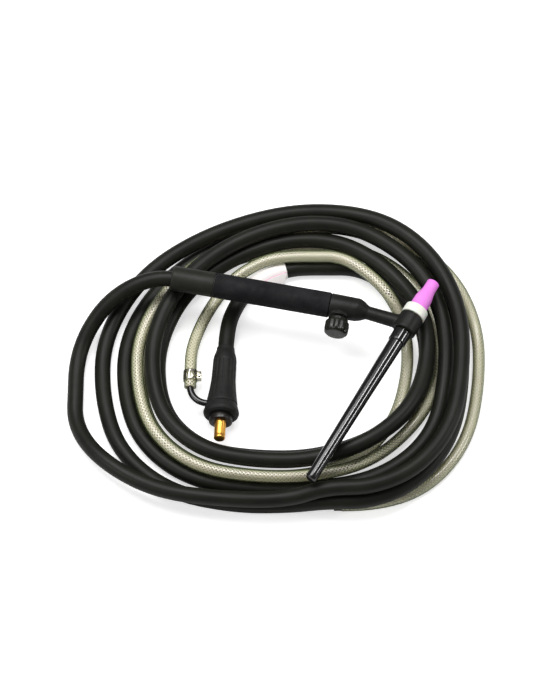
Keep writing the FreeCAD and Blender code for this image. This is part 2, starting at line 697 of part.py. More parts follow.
CLAMP_BORE = "hose_radius + clamp_gap"
CLAMP_OUT = CLAMP_BORE + " + clamp_band"
clamp_frame = Placement(hose_start + Vector(0, size("clamp_along") - 0.5 * size("clamp_width"), 0), turned_by(90))
clamp = turned("hose_clamp", [
    ("0", CLAMP_BORE), ("0", CLAMP_OUT), ("clamp_width", CLAMP_OUT), ("clamp_width", CLAMP_BORE)], clamp_frame)
slot_sketch = new_sketch(clamp, "slot_outline")
SLOT_FROM = "0.5*clamp_width - 0.5*clamp_slot_length"
SLOT_TO = "0.5*clamp_width + 0.5*clamp_slot_length"
draw_outline(slot_sketch, [
    (SLOT_FROM, "-0.5*clamp_slot_width"), (SLOT_TO, "-0.5*clamp_slot_width"),
    (SLOT_TO, "0.5*clamp_slot_width"), (SLOT_FROM, "0.5*clamp_slot_width")])
slot = pocket(clamp, "slot", slot_sketch, "2*hose_radius", towards_normal=True)
pattern(clamp, "slots", slot, "X_Axis", "clamp_slots")
housing_sketch = new_sketch(clamp, "housing_outline", "XZ_Plane",
                            Placement(Vector(0, 0, value(CLAMP_BORE + " + 0.3*clamp_band")), Rotation()))
HOUSING_FROM = "0.5*clamp_width - 0.5*housing_width"
HOUSING_TO = "0.5*clamp_width + 0.5*housing_width"
draw_outline(housing_sketch, [
    (HOUSING_FROM, "-0.5*housing_height"), (HOUSING_TO, "-0.5*housing_height"),
    (HOUSING_TO, "0.5*housing_height"), (HOUSING_FROM, "0.5*housing_height")])
housing = clamp.newObject("PartDesign::Pad", "hose_clamp_housing")
housing.Profile = housing_sketch
housing.setExpression("Length", formula("housing_depth"))
# The band's bore again, because the block's inner corners reach into it
turn(clamp, "band_bore", [
    ("0", "0"), ("0", CLAMP_BORE), ("clamp_width", CLAMP_BORE), ("clamp_width", "0")], cut=True)
SCREW_OUT = CLAMP_OUT + " + screw_radius + 2*fit_gap"
screw_sketch = new_sketch(clamp, "screw_circle", "XY_Plane",
                          Placement(Vector(0, 0, value("0.5*housing_height")), Rotation()))
draw_circle(screw_sketch, "0.5*clamp_width", "-1*" + SCREW_OUT.replace(" + ", " - "), "screw_radius + fit_gap")
pocket(clamp, "screw_hole", screw_sketch, "2*housing_height")
screw_foot = Vector(0.5 * size("clamp_width"), -value(SCREW_OUT), -0.5 * size("housing_height"))
screw_frame = clamp_frame.multiply(Placement(screw_foot, Rotation(Vector(0, 1, 0), -90)))
SCREW_NECK = "housing_height + fit_gap"
SCREW_TOP = SCREW_NECK + " + screw_head_length"
screw = turned("clamp_screw", [
    ("0", "0"), ("0", "screw_radius"), (SCREW_NECK, "screw_radius"), (SCREW_NECK, "screw_head_radius"),
    (SCREW_TOP, "screw_head_radius"), (SCREW_TOP, "0")], screw_frame)
notch_sketch = new_sketch(screw, "notch_outline", "XZ_Plane")
NOTCH_FROM = minus(SCREW_TOP, "screw_slot_depth")
NOTCH_TO = SCREW_TOP + " + fit_gap"
draw_outline(notch_sketch, [
    (NOTCH_FROM, "-0.5*screw_slot_width"), (NOTCH_TO, "-0.5*screw_slot_width"),
    (NOTCH_TO, "0.5*screw_slot_width"), (NOTCH_FROM, "0.5*screw_slot_width")])
pocket(screw, "notch", notch_sketch, "3*screw_head_radius", both_ways=True)


# Cords. Free stretches are straight runs joined by tangent arcs. The coils are stations
# joined by pairs of arcs: one unbroken tube from the first station to the last.

CABLE = size("cable_radius")
HOSE = size("hose_radius")
CABLE_LOW = CABLE - size("floor_flat")
HOSE_LOW = HOSE - size("floor_flat")

ferrule_face = torch.multVec(Vector(size("ferrule_inset"), 0, 0))
mouth_point = torch.multVec(Vector(size("cable_mouth_inset"), 0, 0))

CABLE_LEAD = [
    ferrule_face, mouth_point, Vector(-91.0, 52.4, 40.2), Vector(-109.5, 46.8, 35.7), Vector(-126.4, 37.2, 26.9),
    Vector(-139.4, 22.8, 16.5), Vector(-147.0, 6.8, 9.2), Vector(-150.0, -10.5, 6.25), Vector(-150.0, -26.0, 6.25)]
CABLE_TAIL = [
    Vector(45.0, 81.5, 6.25), Vector(33.0, 81.5, 6.25), Vector(20.5, 80.4, 6.9), Vector(6.5, 76.4, 7.0),
    Vector(-7.0, 68.8, 7.0), Vector(-18.6, 57.2, 7.0), Vector(-27.3, 42.0, 7.3),
    plug_frame.Base - plug_way * size("cable_tail_straight"), plug_frame.Base]
HOSE_LEAD = [
    hose_start, hose_start + Vector(0, size("hose_straight"), 0), Vector(-60.2, 3.0, 9.8),
    Vector(-56.5, 20.0, 6.0), Vector(-49.5, 38.0, 4.9), Vector(-39.5, 56.0, 4.9), Vector(-26.5, 71.5, 7.5),
    Vector(-10.5, 80.5, 12.2), Vector(5.0, 84.6, 16.4), Vector(20.5, 85.5, 17.5), Vector(35.5, 85.5, 17.5)]

# Stations of the coils: side of the coil (left, front, right, back), distance out to that side,
# place along the side, height, height half way to the next station (none: the mean), and how far
# the corner to the next station is filled out (0.707 would be a quarter of an ellipse)
ROUND = 0.708
CABLE_STATIONS = [
    ("L", 150.0, -38.5, 6.25, 17.0, 0.735), ("F", 129.5, 0, 21.25, None, ROUND),
    ("F", 122.5, 60, 28.75, 29.5, 0.74), ("R", 151.0, 5, 29.0, 30.0, ROUND),
    ("B", 122.5, 45, 24.5, 17.5, ROUND), ("L", 129.5, -10, CABLE_LOW, CABLE_LOW, 0.75),
    ("F", 127.0, 0, CABLE_LOW, None, ROUND), ("F", 128.5, 60, 16.25, 16.5, 0.74),
    ("R", 151.5, 5, 10.0, CABLE_LOW, 0.695), ("B", 120.5, 45, CABLE_LOW, CABLE_LOW, ROUND),
    ("L", 112.0, -10, CABLE_LOW, CABLE_LOW, 0.75), ("F", 114.0, 10, CABLE_LOW, 12.0, 0.775),
    ("R", 139.0, 5, 20.5, 26.0, ROUND), ("B", 108.5, 40, 30.0, 25.9, ROUND),
    ("L", 90.0, -10, 21.0, 21.5, 0.75), ("F", 96.5, 10, 22.0, 30.0, 0.74),
    ("R", 124.0, 5, 25.5, 19.0, 0.69), ("B", 99.25, 35, 19.75, 13.75, 0.711),
    ("L", 86.25, -10, CABLE_LOW, 7.0, 0.75), ("F", 89.0, 10, 10.0, 17.25, 0.74),
    ("R", 124.25, 5, 10.75, 6.0, 0.687), ("B", 81.5, 57.5, 6.25, None, ROUND)]
HOSE_STATIONS = [
    ("B", 85.5, 45, 17.5, 19.0, 0.665), ("R", 109.5, 8, HOSE_LOW, HOSE_LOW, 0.735),
    ("F", 101.5, 10, HOSE_LOW, HOSE_LOW, 0.75), ("L", 100.0, -10, HOSE_LOW, HOSE_LOW, 0.72),
    ("B", 102.0, 45, HOSE_LOW, HOSE_LOW, ROUND), ("R", 135.5, 8, HOSE_LOW, 8.75, 0.706),
    ("F", 109.0, 10, 18.5, 16.0, 0.75), ("L", 102.0, -10, 15.0, 15.5, ROUND),
    ("B", 112.75, 45, 17.5, 18.0, ROUND), ("R", 165.5, 8, HOSE_LOW, HOSE_LOW, 0.74),
    ("F", 126.5, 66, HOSE, None, ROUND)]
# Direction in which the cable passes each side; the hose passes them the other way
SIDES = {"L": Vector(0, -1, 0), "F": Vector(1, 0, 0), "R": Vector(0, 1, 0), "B": Vector(-1, 0, 0)}


def rounded_route(points):
    """Edges of a route, each inner corner an arc as large as its two runs allow."""
    radii = []
    cuts = []
    for before, corner, after in zip(points, points[1:], points[2:]):
        back = before - corner
        ahead = after - corner
        half_turn = (math.pi - back.getAngle(ahead)) / 2
        setback = 0.45 * min(back.Length, ahead.Length)
        radius = setback / math.tan(half_turn)
        into = corner + back * (setback / back.Length)
        out = corner + ahead * (setback / ahead.Length)
        inward = ((into + out) * 0.5 - corner).normalize()
        middle = corner + inward * (radius / math.cos(half_turn) - radius)
        radii.append(radius)
        cuts.append((into, middle, out))
    edges = []
    here = points[0]
    for into, middle, out in cuts:
        edges.append(Part.LineSegment(here, into).toShape())
        edges.append(Part.Arc(into, middle, out).toShape())
        here = out
    edges.append(Part.LineSegment(here, points[-1]).toShape())
    return edges, radii


def station_point(station):
    side, reach, along, height = station[:4]
    if side == "L":
        return Vector(-reach, along, height)
    if side == "R":
        return Vector(reach, along, height)
    if side == "F":
        return Vector(along, -reach, height)
    return Vector(along, reach, height)


def arc_from(start, way, end):
    """Arc from start, leaving along way, to end; with it, its radius."""
    chord = end - start
    half = way.getAngle(chord)
    if half < 1e-6:
        return Part.LineSegment(start, end).toShape(), 1e9
    unit = chord * (1 / chord.Length)
    outward = (way - unit * way.dot(unit)).normalize()
    middle = (start + end) * 0.5 + outward * (0.5 * chord.Length * math.tan(half / 2))
    return Part.Arc(start, middle, end).toShape(), chord.Length / 2 / math.sin(half)


def two_arcs(start, way, end, end_way):
    """Two arcs that meet smoothly and leave and arrive along the given directions."""
    gap = end - start
    a = 2 * (1 + way.dot(end_way)) - 4
    b = -2 * gap.dot(way + end_way)
    c = gap.dot(gap)
    if abs(a) < 1e-9:
        reach = -c / b
    else:
        root = math.sqrt(b * b - 4 * a * c)
        reach = max((-b + root) / (2 * a), (-b - root) / (2 * a))
    first = start + way * reach
    second = end - end_way * reach
    meet = (first + second) * 0.5
    meet_way = (second - first).normalize()
    return [arc_from(start, way, meet), arc_from(meet, meet_way, end)]


def coil_route(stations, forwards, lead_in, lead_out):
    """Edges of a coil: a straight end, the stations' arcs, a straight end."""
    sense = 1 if forwards else -1
    pieces = []
    for here, there in zip(stations, stations[1:]):
        start, end = station_point(here), station_point(there)
        start_way, end_way = SIDES[here[0]] * sense, SIDES[there[0]] * sense
        if here[0] == there[0]:
            pieces += two_arcs(start, start_way, end, end_way)
            continue
        sideways = here[0] in "LR"
        centre = Vector(end.x if sideways else start.x, start.y if sideways else end.y, 0)
        out_start = Vector(start.x - centre.x, start.y - centre.y, 0)
        out_end = Vector(end.x - centre.x, end.y - centre.y, 0)
        middle = centre + (out_start + out_end) * here[5]
        middle.z = (start.z + end.z) / 2 if here[4] is None else here[4]
        middle_way = (out_end - out_start).normalize()
        pieces += two_arcs(start, start_way, middle, middle_way)
        pieces += two_arcs(middle, middle_way, end, end_way)
    first, last = station_point(stations[0]), station_point(stations[-1])
    before = first - SIDES[stations[0][0]] * sense * lead_in
    after = last + SIDES[stations[-1][0]] * sense * lead_out
    edges = [Part.LineSegment(before, first).toShape()]
    edges += [edge for edge, radius in pieces]
    edges.append(Part.LineSegment(last, after).toShape())
    return edges, [radius for edge, radius in pieces]


def way_in(edge):
    return edge.tangentAt(edge.FirstParameter)


def tube(edges, radius):
    start = edges[0].valueAt(edges[0].FirstParameter)
    ring = Part.Wire(Part.Circle(start, way_in(edges[0]), radius).toShape())
    return Part.Wire(edges).makePipeShell([ring], True, False)


def add_tube(label, edges, radii, radius, flat=False, bore=None):
    """A cord's solid, compared with its section times its length, cut flat on the floor where it bears."""
    solid = tube(edges, radius)
    length = sum(edge.Length for edge in edges)
    section = math.pi * radius * radius
    if bore is not None:
        solid = solid.cut(tube(edges, bore))
        section -= math.pi * bore * bore
    print("%s: length %.1f, least radius %.1f, volume %.0f against %.0f"
          % (label, length, min(radii), solid.Volume, section * length))
    if flat:
        box = solid.BoundBox
        below = Part.makeBox(box.XLength + 2 * radius, box.YLength + 2 * radius, radius,
                             Vector(box.XMin - radius, box.YMin - radius, -radius))
        solid = solid.cut(below)
    if solid.ShapeType == "Compound" and len(solid.Solids) == 1:
        solid = solid.Solids[0]
    feature = doc.addObject("Part::Feature", label)
    feature.Label = label
    feature.Shape = solid
    feature.Placement = Placement()
    PIECES.append(feature)
    return feature


def samples(edges, spacing=4.0):
    """Points along a route with their distance from its start."""
    points = []
    travelled = 0.0
    for edge in edges:
        steps = max(1, int(round(edge.Length / spacing)))
        for step in range(steps):
            share = step / steps
            at = edge.getParameterByLength(share * edge.Length)
            points.append((travelled + share * edge.Length, edge.valueAt(at)))
        travelled += edge.Length
    return points


def least_gap(first, second, touching, apart=0.0):
    """Least distance between two routes less the tubes' radii, with its place."""
    best = (1e9, None)
    for far, p in first:
        for other, q in second:
            if apart and abs(far - other) < apart:
                continue
            between = (p - q).Length - touching
            if between < best[0]:
                best = (between, p)
    return "%.2f near (%.0f, %.0f, %.0f)" % (best[0], best[1].x, best[1].y, best[1].z)


cable_coil, cable_radii = coil_route(CABLE_STATIONS, True, 2 * CABLE, 2 * CABLE)
hose_coil, hose_radii = coil_route(HOSE_STATIONS, False, 2 * HOSE, 2 * HOSE)
cable_lead, lead_radii = rounded_route(CABLE_LEAD)
cable_tail, tail_radii = rounded_route(CABLE_TAIL)
hose_lead, hose_lead_radii = rounded_route(HOSE_LEAD)
add_tube("power_cable_lead", cable_lead, lead_radii, CABLE)
add_tube("power_cable_coil", cable_coil, cable_radii, CABLE, flat=True)
add_tube("power_cable_tail", cable_tail, tail_radii, CABLE)
add_tube("gas_hose_lead", hose_lead, hose_lead_radii, HOSE)
add_tube("gas_hose_coil", hose_coil, hose_radii, HOSE, flat=True)
for name, radii in (("cable lead", lead_radii), ("cable tail", tail_radii), ("hose lead", hose_lead_radii)):
    print(name, "corner radii", ["%.0f" % radius for radius in radii])

# Blank tag wrapped round the tail between the middles of its third and fifth runs
tag_edges = cable_tail[4:9]
tag_first = tag_edges[0]
tag_last = tag_edges[-1]
tag_start = (tag_first.Vertexes[0].Point + tag_first.Vertexes[-1].Point) * 0.5
tag_end = (tag_last.Vertexes[0].Point + tag_last.Vertexes[-1].Point) * 0.5
tag_middle = tag_edges[1:-1]
first_run = Part.LineSegment(tag_start, tag_middle[0].valueAt(tag_middle[0].FirstParameter)).toShape()
last_run = Part.LineSegment(tag_middle[-1].valueAt(tag_middle[-1].LastParameter), tag_end).toShape()
add_tube("cable_tag", [first_run] + tag_middle + [last_run], tail_radii,
         value("cable_radius + tag_gap + tag_wall"), bore=value("cable_radius + tag_gap"))

# Hidden end of the hose: crimped sleeve and push-in nipple, in line with the hose
hose_end = hose_coil[-1].valueAt(hose_coil[-1].LastParameter)
end_frame = Placement(hose_end, turned_by(180))
turned("hose_sleeve", [
    ("0", "nipple_root_radius + fit_gap"), ("0", "hose_sleeve_radius"),
    ("hose_sleeve_length", "hose_sleeve_radius"), ("hose_sleeve_length", "nipple_root_radius + fit_gap")],
    end_frame)
turned("gas_nipple", [
    ("0", "nipple_bore"), ("0", "nipple_root_radius"), ("nipple_inset", "nipple_root_radius"),
    ("nipple_inset", "nipple_radius"), ("nipple_inset + nipple_reach", "nipple_radius"),
    ("nipple_inset + nipple_reach", "nipple_bore")],
    end_frame.multiply(Placement(Vector(value("hose_sleeve_length - nipple_inset"), 0, 0), Rotation())))

paths = {
    "cable coil": (samples(cable_coil), CABLE), "hose coil": (samples(hose_coil), HOSE),
    "cable lead": (samples(cable_lead), CABLE), "cable tail": (samples(cable_tail), CABLE),
    "hose lead": (samples(hose_lead), HOSE)}
print("cable coil to itself", least_gap(paths["cable coil"][0], paths["cable coil"][0], 2 * CABLE, apart=60))
print("hose coil to itself", least_gap(paths["hose coil"][0], paths["hose coil"][0], 2 * HOSE, apart=60))
print("cable coil to hose coil", least_gap(paths["cable coil"][0], paths["hose coil"][0], CABLE + HOSE))
for name, own_coil, first, last in (("cable lead", "cable coil", 0, -10), ("cable tail", "cable coil", 10, None),
                                    ("hose lead", "hose coil", 0, -10)):
    route, radius = paths[name]
    for coil in ("cable coil", "hose coil"):
        part = route[first:last] if coil == own_coil else route
        print(name, "to", coil, least_gap(part, paths[coil][0], radius + paths[coil][1]))
print("hose lead to cable tail", least_gap(paths["hose lead"][0], paths["cable tail"][0], CABLE + HOSE))

# State, validity and export

doc.recompute()
faults = []
for item in doc.Objects:
    if "Invalid" in item.State or "Error" in item.State:
        faults.append(item.Name + " " + str(item.State))
for piece in PIECES:
    shape = piece.Shape
    if shape.isNull() or not shape.isValid() or len(shape.Solids) != 1:
        faults.append(piece.Label + " shape, solids: %d" % len(shape.Solids))
if faults:
    raise SystemExit("Not written: " + "; ".join(faults))
os.makedirs("parts", exist_ok=True)
for piece in PIECES:
    piece.Shape.exportStep(os.path.join("parts", piece.Label + ".step"))
print(len(PIECES), "pieces written")
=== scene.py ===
"""Welding torch on its coiled power cable and gas hose, dressed for a studio picture."""

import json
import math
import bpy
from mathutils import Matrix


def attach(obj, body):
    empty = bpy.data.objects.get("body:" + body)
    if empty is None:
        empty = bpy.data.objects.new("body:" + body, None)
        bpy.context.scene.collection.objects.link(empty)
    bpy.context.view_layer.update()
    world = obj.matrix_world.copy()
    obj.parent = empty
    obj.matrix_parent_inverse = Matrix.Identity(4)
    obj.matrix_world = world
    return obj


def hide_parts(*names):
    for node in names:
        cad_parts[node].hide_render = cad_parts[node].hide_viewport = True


bl_info = {
    "name": "Coiled Welding Torch",
    "version": (1, 0, 0),
    "blender": (4, 5, 0),
    "location": "View3D > Sidebar > Torch",
    "description": "Builds the visible surfaces of a gas-valve welding torch and its coiled leads",
    "category": "Object",
}

import bmesh
import bpy
from mathutils import Matrix, Vector

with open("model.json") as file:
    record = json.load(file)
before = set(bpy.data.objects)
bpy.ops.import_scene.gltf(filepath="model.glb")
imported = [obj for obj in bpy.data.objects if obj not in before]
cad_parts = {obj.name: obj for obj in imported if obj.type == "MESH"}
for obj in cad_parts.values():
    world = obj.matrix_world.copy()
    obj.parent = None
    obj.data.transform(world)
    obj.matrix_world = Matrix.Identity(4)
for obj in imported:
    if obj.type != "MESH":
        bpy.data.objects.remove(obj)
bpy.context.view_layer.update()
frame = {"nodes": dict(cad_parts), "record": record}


def linear(hex_colour):
    """Turns an sRGB hex value such as '#2b2c28' into linear RGBA."""
    channels = [int(hex_colour[i:i + 2], 16) / 255 for i in (1, 3, 5)]
    return tuple(c / 12.92 if c <= 0.04045 else ((c + 0.055) / 1.055) ** 2.4 for c in channels) + (1.0,)


def colour(name, hex_colour):
    return bpy.props.FloatVectorProperty(
        name=name, description=name + " colour of the surface", default=linear(hex_colour), size=4,
        min=0.0, max=1.0, subtype="COLOR")


def amount(name, description, default, unit="NONE", digits=2):
    return bpy.props.FloatProperty(
        name=name, description=description, default=default, min=0.0, unit=unit, precision=digits)


def length(name, description, default):
    return amount(name, description, default, unit="LENGTH", digits=5)


# Routes in metres, the same points as the solids follow

# Heights of the middle of the cable and of the hose where they press on the floor
LOW = 0.00575
HOSE_LOW = 0.00425
# A corner that is filled out as a circle fills it
ROUND = 0.708
CABLE_LEAD = [
    (-0.05714, 0.0491, 0.0415), (-0.07284, 0.05221, 0.0415), (-0.091, 0.0524, 0.0402),
    (-0.1095, 0.0468, 0.0357), (-0.1264, 0.0372, 0.0269), (-0.1394, 0.0228, 0.0165),
    (-0.147, 0.0068, 0.0092), (-0.15, -0.0105, 0.00625), (-0.15, -0.026, 0.00625)]
CABLE_TAIL = [
    (0.045, 0.0815, 0.00625), (0.033, 0.0815, 0.00625), (0.0205, 0.0804, 0.0069),
    (0.0065, 0.0764, 0.007), (-0.007, 0.0688, 0.007), (-0.0186, 0.0572, 0.007), (-0.0273, 0.042, 0.0073),
    (-0.03202, 0.02454, 0.00943), (-0.033, 0.0066, 0.0105)]
HOSE_LEAD = [
    (-0.06043, -0.02923, 0.01352), (-0.06043, -0.01283, 0.01352), (-0.0602, 0.003, 0.0098),
    (-0.0565, 0.02, 0.006), (-0.0495, 0.038, 0.0049), (-0.0395, 0.056, 0.0049),
    (-0.0265, 0.0715, 0.0075), (-0.0105, 0.0805, 0.0122), (0.005, 0.0846, 0.0164),
    (0.0205, 0.0855, 0.0175), (0.0355, 0.0855, 0.0175)]
HOSE_END = (0.0565, -0.1265, 0.00475)
# Stations of the coils: side, distance out, place along that side and height of the cord's middle, then
# its height half way to the next station, where None is the mean, and how far that corner is filled out
CABLE_STATIONS = [
    ("L", 0.15, -0.0385, 0.00625, 0.017, 0.735), ("F", 0.1295, 0, 0.02125, None, ROUND),
    ("F", 0.1225, 0.06, 0.02875, 0.0295, 0.74), ("R", 0.151, 0.005, 0.029, 0.03, ROUND),
    ("B", 0.1225, 0.045, 0.0245, 0.0175, ROUND), ("L", 0.1295, -0.01, LOW, LOW, 0.75),
    ("F", 0.127, 0, LOW, None, ROUND), ("F", 0.1285, 0.06, 0.01625, 0.0165, 0.74),
    ("R", 0.1515, 0.005, 0.01, LOW, 0.695), ("B", 0.1205, 0.045, LOW, LOW, ROUND),
    ("L", 0.112, -0.01, LOW, LOW, 0.75), ("F", 0.114, 0.01, LOW, 0.012, 0.775),
    ("R", 0.139, 0.005, 0.0205, 0.026, ROUND), ("B", 0.1085, 0.04, 0.03, 0.0259, ROUND),
    ("L", 0.09, -0.01, 0.021, 0.0215, 0.75), ("F", 0.0965, 0.01, 0.022, 0.03, 0.74),
    ("R", 0.124, 0.005, 0.0255, 0.019, 0.69), ("B", 0.09925, 0.035, 0.01975, 0.01375, 0.711),
    ("L", 0.08625, -0.01, LOW, 0.007, 0.75), ("F", 0.089, 0.01, 0.01, 0.01725, 0.74),
    ("R", 0.12425, 0.005, 0.01075, 0.006, 0.687), ("B", 0.0815, 0.0575, 0.00625, None, ROUND)]
HOSE_STATIONS = [
    ("B", 0.0855, 0.045, 0.0175, 0.019, 0.665), ("R", 0.1095, 0.008, HOSE_LOW, HOSE_LOW, 0.735),
    ("F", 0.1015, 0.01, HOSE_LOW, HOSE_LOW, 0.75), ("L", 0.1, -0.01, HOSE_LOW, HOSE_LOW, 0.72),
    ("B", 0.102, 0.045, HOSE_LOW, HOSE_LOW, ROUND), ("R", 0.1355, 0.008, HOSE_LOW, 0.00875, 0.706),
    ("F", 0.109, 0.01, 0.0185, 0.016, 0.75), ("L", 0.102, -0.01, 0.015, 0.0155, ROUND),
    ("B", 0.11275, 0.045, 0.0175, 0.018, ROUND), ("R", 0.1655, 0.008, HOSE_LOW, HOSE_LOW, 0.74),
    ("F", 0.1265, 0.066, 0.00475, None, ROUND)]
# Direction in which the cable passes each side; the hose passes them the other way
SIDES = {"L": Vector((0, -1, 0)), "F": Vector((1, 0, 0)), "R": Vector((0, 1, 0)), "B": Vector((-1, 0, 0))}


def station_point(station):
    """Where the middle of the cord passes a station."""
    side, reach, along, height = station[:4]
    across = -reach if side in "LF" else reach
    return Vector((across, along, height)) if side in "LR" else Vector((along, across, height))


def arc_corners(start, way, end, end_way, nearly_none=1e-9):
    """The two corners round which a smooth pair of arcs passes from start to end."""
    gap = end - start
    a = 2 * (1 + way.dot(end_way)) - 4
    b = -2 * gap.dot(way + end_way)
    c = gap.dot(gap)
    if abs(a) < nearly_none:
        reach = -c / b
    else:
        root = math.sqrt(b * b - 4 * a * c)
        reach = max((-b + root) / (2 * a), (-b - root) / (2 * a))
    return [start + way * reach, end - end_way * reach]


def coil_points(stations, sense):
    """Control points of a coil: four for every quarter turn."""
    points = []
    for here, there in zip(stations, stations[1:]):
        side, next_side, middle_height, fill = here[0], there[0], here[4], here[5]
        start, end = station_point(here), station_point(there)
        start_way, end_way = SIDES[side] * sense, SIDES[next_side] * sense
        if side == next_side:
            points += arc_corners(start, start_way, end, end_way)
            continue
        sideways = side in "LR"
        centre = Vector((end.x if sideways else start.x, start.y if sideways else end.y, 0))
        out_start = Vector((start.x - centre.x, start.y - centre.y, 0))
        out_end = Vector((end.x - centre.x, end.y - centre.y, 0))
        middle = centre + (out_start + out_end) * fill
        middle.z = (start.z + end.z) / 2 if middle_height is None else middle_height
        middle_way = (out_end - out_start).normalized()
        points += arc_corners(start, start_way, middle, middle_way)
        points += arc_corners(middle, middle_way, end, end_way)
    return points


# Settings

class CordSettings(bpy.types.PropertyGroup):
    cable_diameter: length("Cable diameter", "Outside of the rubber power cable", 0.0125)
    hose_diameter: length("Hose diameter", "Outside of the clear gas hose", 0.0095)
    braid_diameter: length("Braid diameter", "Place of the braid inside the hose wall", 0.0078)
    sides: bpy.props.IntProperty(name="Sides", description="Faces round a cord", default=32, min=8)
    braid_strands: bpy.props.IntProperty(
        name="Braid strands", description="Strands of the braid each way round the hose", default=8, min=4)
    cable_rubber: colour("Cable rubber", "#12130f")
    cable_bloom: colour("Cable bloom", "#1d1e17")
    hose_tint: colour("Hose tint", "#fbfbf3")
    hose_edge: colour("Hose edge", "#b9cb8c")
    hose_inside: colour("Hose inside", "#f5f6e8")
    hose_braid: colour("Hose braid", "#fff8f3")


class TorchSettings(bpy.types.PropertyGroup):
    cell: length("Moulding detail", "Cell size with which the mouldings are softened", 0.0005)
    edge: length("Edge wear", "Width of the worn edges on turned and pressed pieces", 0.0002)
    grip: colour("Grip", "#111114")
    boot: colour("Rear boot", "#1b1c15")
    moulding: colour("Moulded body", "#11120f")
    knob: colour("Valve knob", "#15160f")
    cap: colour("Back cap", "#030303")
    ceramic: colour("Ceramic cup", "#f07cea")
    insulator: colour("Insulating ring", "#eef2e6")
    brass: colour("Turned brass", "#d9a441")
    copper: colour("Copper collet", "#c98a5e")
    liner: colour("Handle liner", "#777777")
    seal: colour("Sealing rings", "#101010")


class PlugSettings(bpy.types.PropertyGroup):
    sleeve: colour("Plug sleeve", "#151614")
    disc: colour("Plug disc", "#100c0a")
    pin: colour("Contact pin", "#ffbe58")
    # Dark brown painted on the brass that shows below the cable, as shade
    brass_painted_as_shade: colour("Brass painted as shade", "#3c3220")
    elbow: colour("Gas elbow", "#080806")
    clamp: colour("Clamp steel", "#d3d0ba")
    tag: colour("Blank tag", "#fbf6f4")
    # Pink tone painted as shade in the fold where the flap leaves the wrap
    tag_crease_shade: colour("Tag crease shade", "#e9b9cc")
    tag_flap: length("Tag flap", "Width of the tag's stuck-together flap", 0.0085)


class StageSettings(bpy.types.PropertyGroup):
    floor_white: colour("Floor", "#e8e8e8")
    floor_lift: amount("Floor lift", "Light added to the floor as the camera sees it", 0.6)
    key_power: amount("Key light", "Power of the large soft light above", 16.0, unit="POWER")
    side_power: amount("Side light", "Power of the light from the left", 5.0, unit="POWER")
    strip_power: amount("Strip lamps", "Power of the lamps that draw crisp streaks", 5.0, unit="POWER")
    sky: amount("Room light", "Strength of the even light", 0.2)
    camera_distance: length("Camera distance", "From the middle of the coil", 2.5)
    view_height: length("View height", "Height of the picture at the coil", 0.5512)


SETTINGS = {"torch_cords": CordSettings, "torch_body": TorchSettings, "torch_plug": PlugSettings,
            "torch_stage": StageSettings}


# Node helpers

def in_use(sockets, name=None):
    """The first socket that the node's settings leave in use, with that name where one is given."""
    return next(socket for socket in sockets if socket.enabled and name in (None, socket.name))


def add(tree, kind, inputs=None, **settings):
    """Adds a node with its settings, and gives its inputs numbers or links from sockets or nodes."""
    made = tree.nodes.new(kind)
    for name, setting in settings.items():
        setattr(made, name, setting)
    for key, given in (inputs or {}).items():
        socket = made.inputs[key] if isinstance(key, int) else in_use(made.inputs, key)
        if isinstance(given, bpy.types.Node):
            given = in_use(given.outputs)
        if isinstance(given, bpy.types.NodeSocket):
            tree.links.new(given, socket)
        else:
            socket.default_value = given
    return made


def new_material(name):
    material = bpy.data.materials.new(name)
    material.use_nodes = True
    material.node_tree.nodes.clear()
    return material, material.node_tree


def speckle(tree, vector, per_metre, low=0.0, high=1.0, detail=4.0):
    """Soft noise of a real size that drifts from low to high."""
    noise = add(tree, "ShaderNodeTexNoise", {
        "Vector": vector, "Scale": per_metre, "Detail": detail, "Roughness": 0.6})
    return add(tree, "ShaderNodeMapRange", {
        "Value": noise, "From Min": 0.3, "From Max": 0.7, "To Min": low, "To Max": high})


def lighten(rgba, share):
    return tuple(c + (1 - c) * share for c in rgba[:3]) + (1.0,)


def darken(rgba, share):
    return tuple(c * (1 - share) for c in rgba[:3]) + (1.0,)


# Materials

# How many patches of each pattern lie in a metre: they are 14, 4, 4, 0.3 and 25 mm wide
TONE_PATCHES = 70.0
GLOSS_PATCHES = 260.0
TARNISH_PATCHES = 240.0
TOOL_MARKS = 3000.0
BLOOM_PATCHES = 40.0


def moulding(name, base, lighter, gloss, grain_mm, relief, shine=0.5, **sockets):
    """Plastic, rubber or ceramic with drift of tone, uneven gloss and grain of a real size."""
    material, tree = new_material(name)
    place = add(tree, "ShaderNodeTexCoord").outputs["Object"]
    tone = add(tree, "ShaderNodeMix", {
        "Factor": speckle(tree, place, TONE_PATCHES), "A": tuple(base), "B": lighten(base, lighter)},
        data_type="RGBA")
    grain = speckle(tree, place, 1000 / grain_mm, detail=2.0)
    shader = add(tree, "ShaderNodeBsdfPrincipled", {
        "Base Color": tone, "Roughness": speckle(tree, place, GLOSS_PATCHES, *gloss),
        "Normal": add(tree, "ShaderNodeBump", {"Height": grain, "Strength": relief, "Distance": 0.00005}),
        "Specular IOR Level": shine, **{key.replace("_", " "): value for key, value in sockets.items()}})
    add(tree, "ShaderNodeOutputMaterial", {"Surface": shader})
    return material


def turned_metal(name, base, rough):
    """Metal with fine tool marks and patches of tarnish."""
    material, tree = new_material(name)
    place = add(tree, "ShaderNodeTexCoord").outputs["Object"]
    tone = add(tree, "ShaderNodeMix", {
        "Factor": speckle(tree, place, TARNISH_PATCHES), "A": darken(base, 0.25), "B": tuple(base)},
        data_type="RGBA")
    marks = speckle(tree, place, TOOL_MARKS, detail=2.0)
    shader = add(tree, "ShaderNodeBsdfPrincipled", {
        "Base Color": tone, "Metallic": 1.0,
        "Roughness": add(tree, "ShaderNodeMapRange", {
            "Value": marks, "To Min": rough - 0.07, "To Max": rough + 0.1}),
        "Normal": add(tree, "ShaderNodeBump", {"Height": marks, "Strength": 0.1, "Distance": 0.00003})})
    add(tree, "ShaderNodeOutputMaterial", {"Surface": shader})
    return material


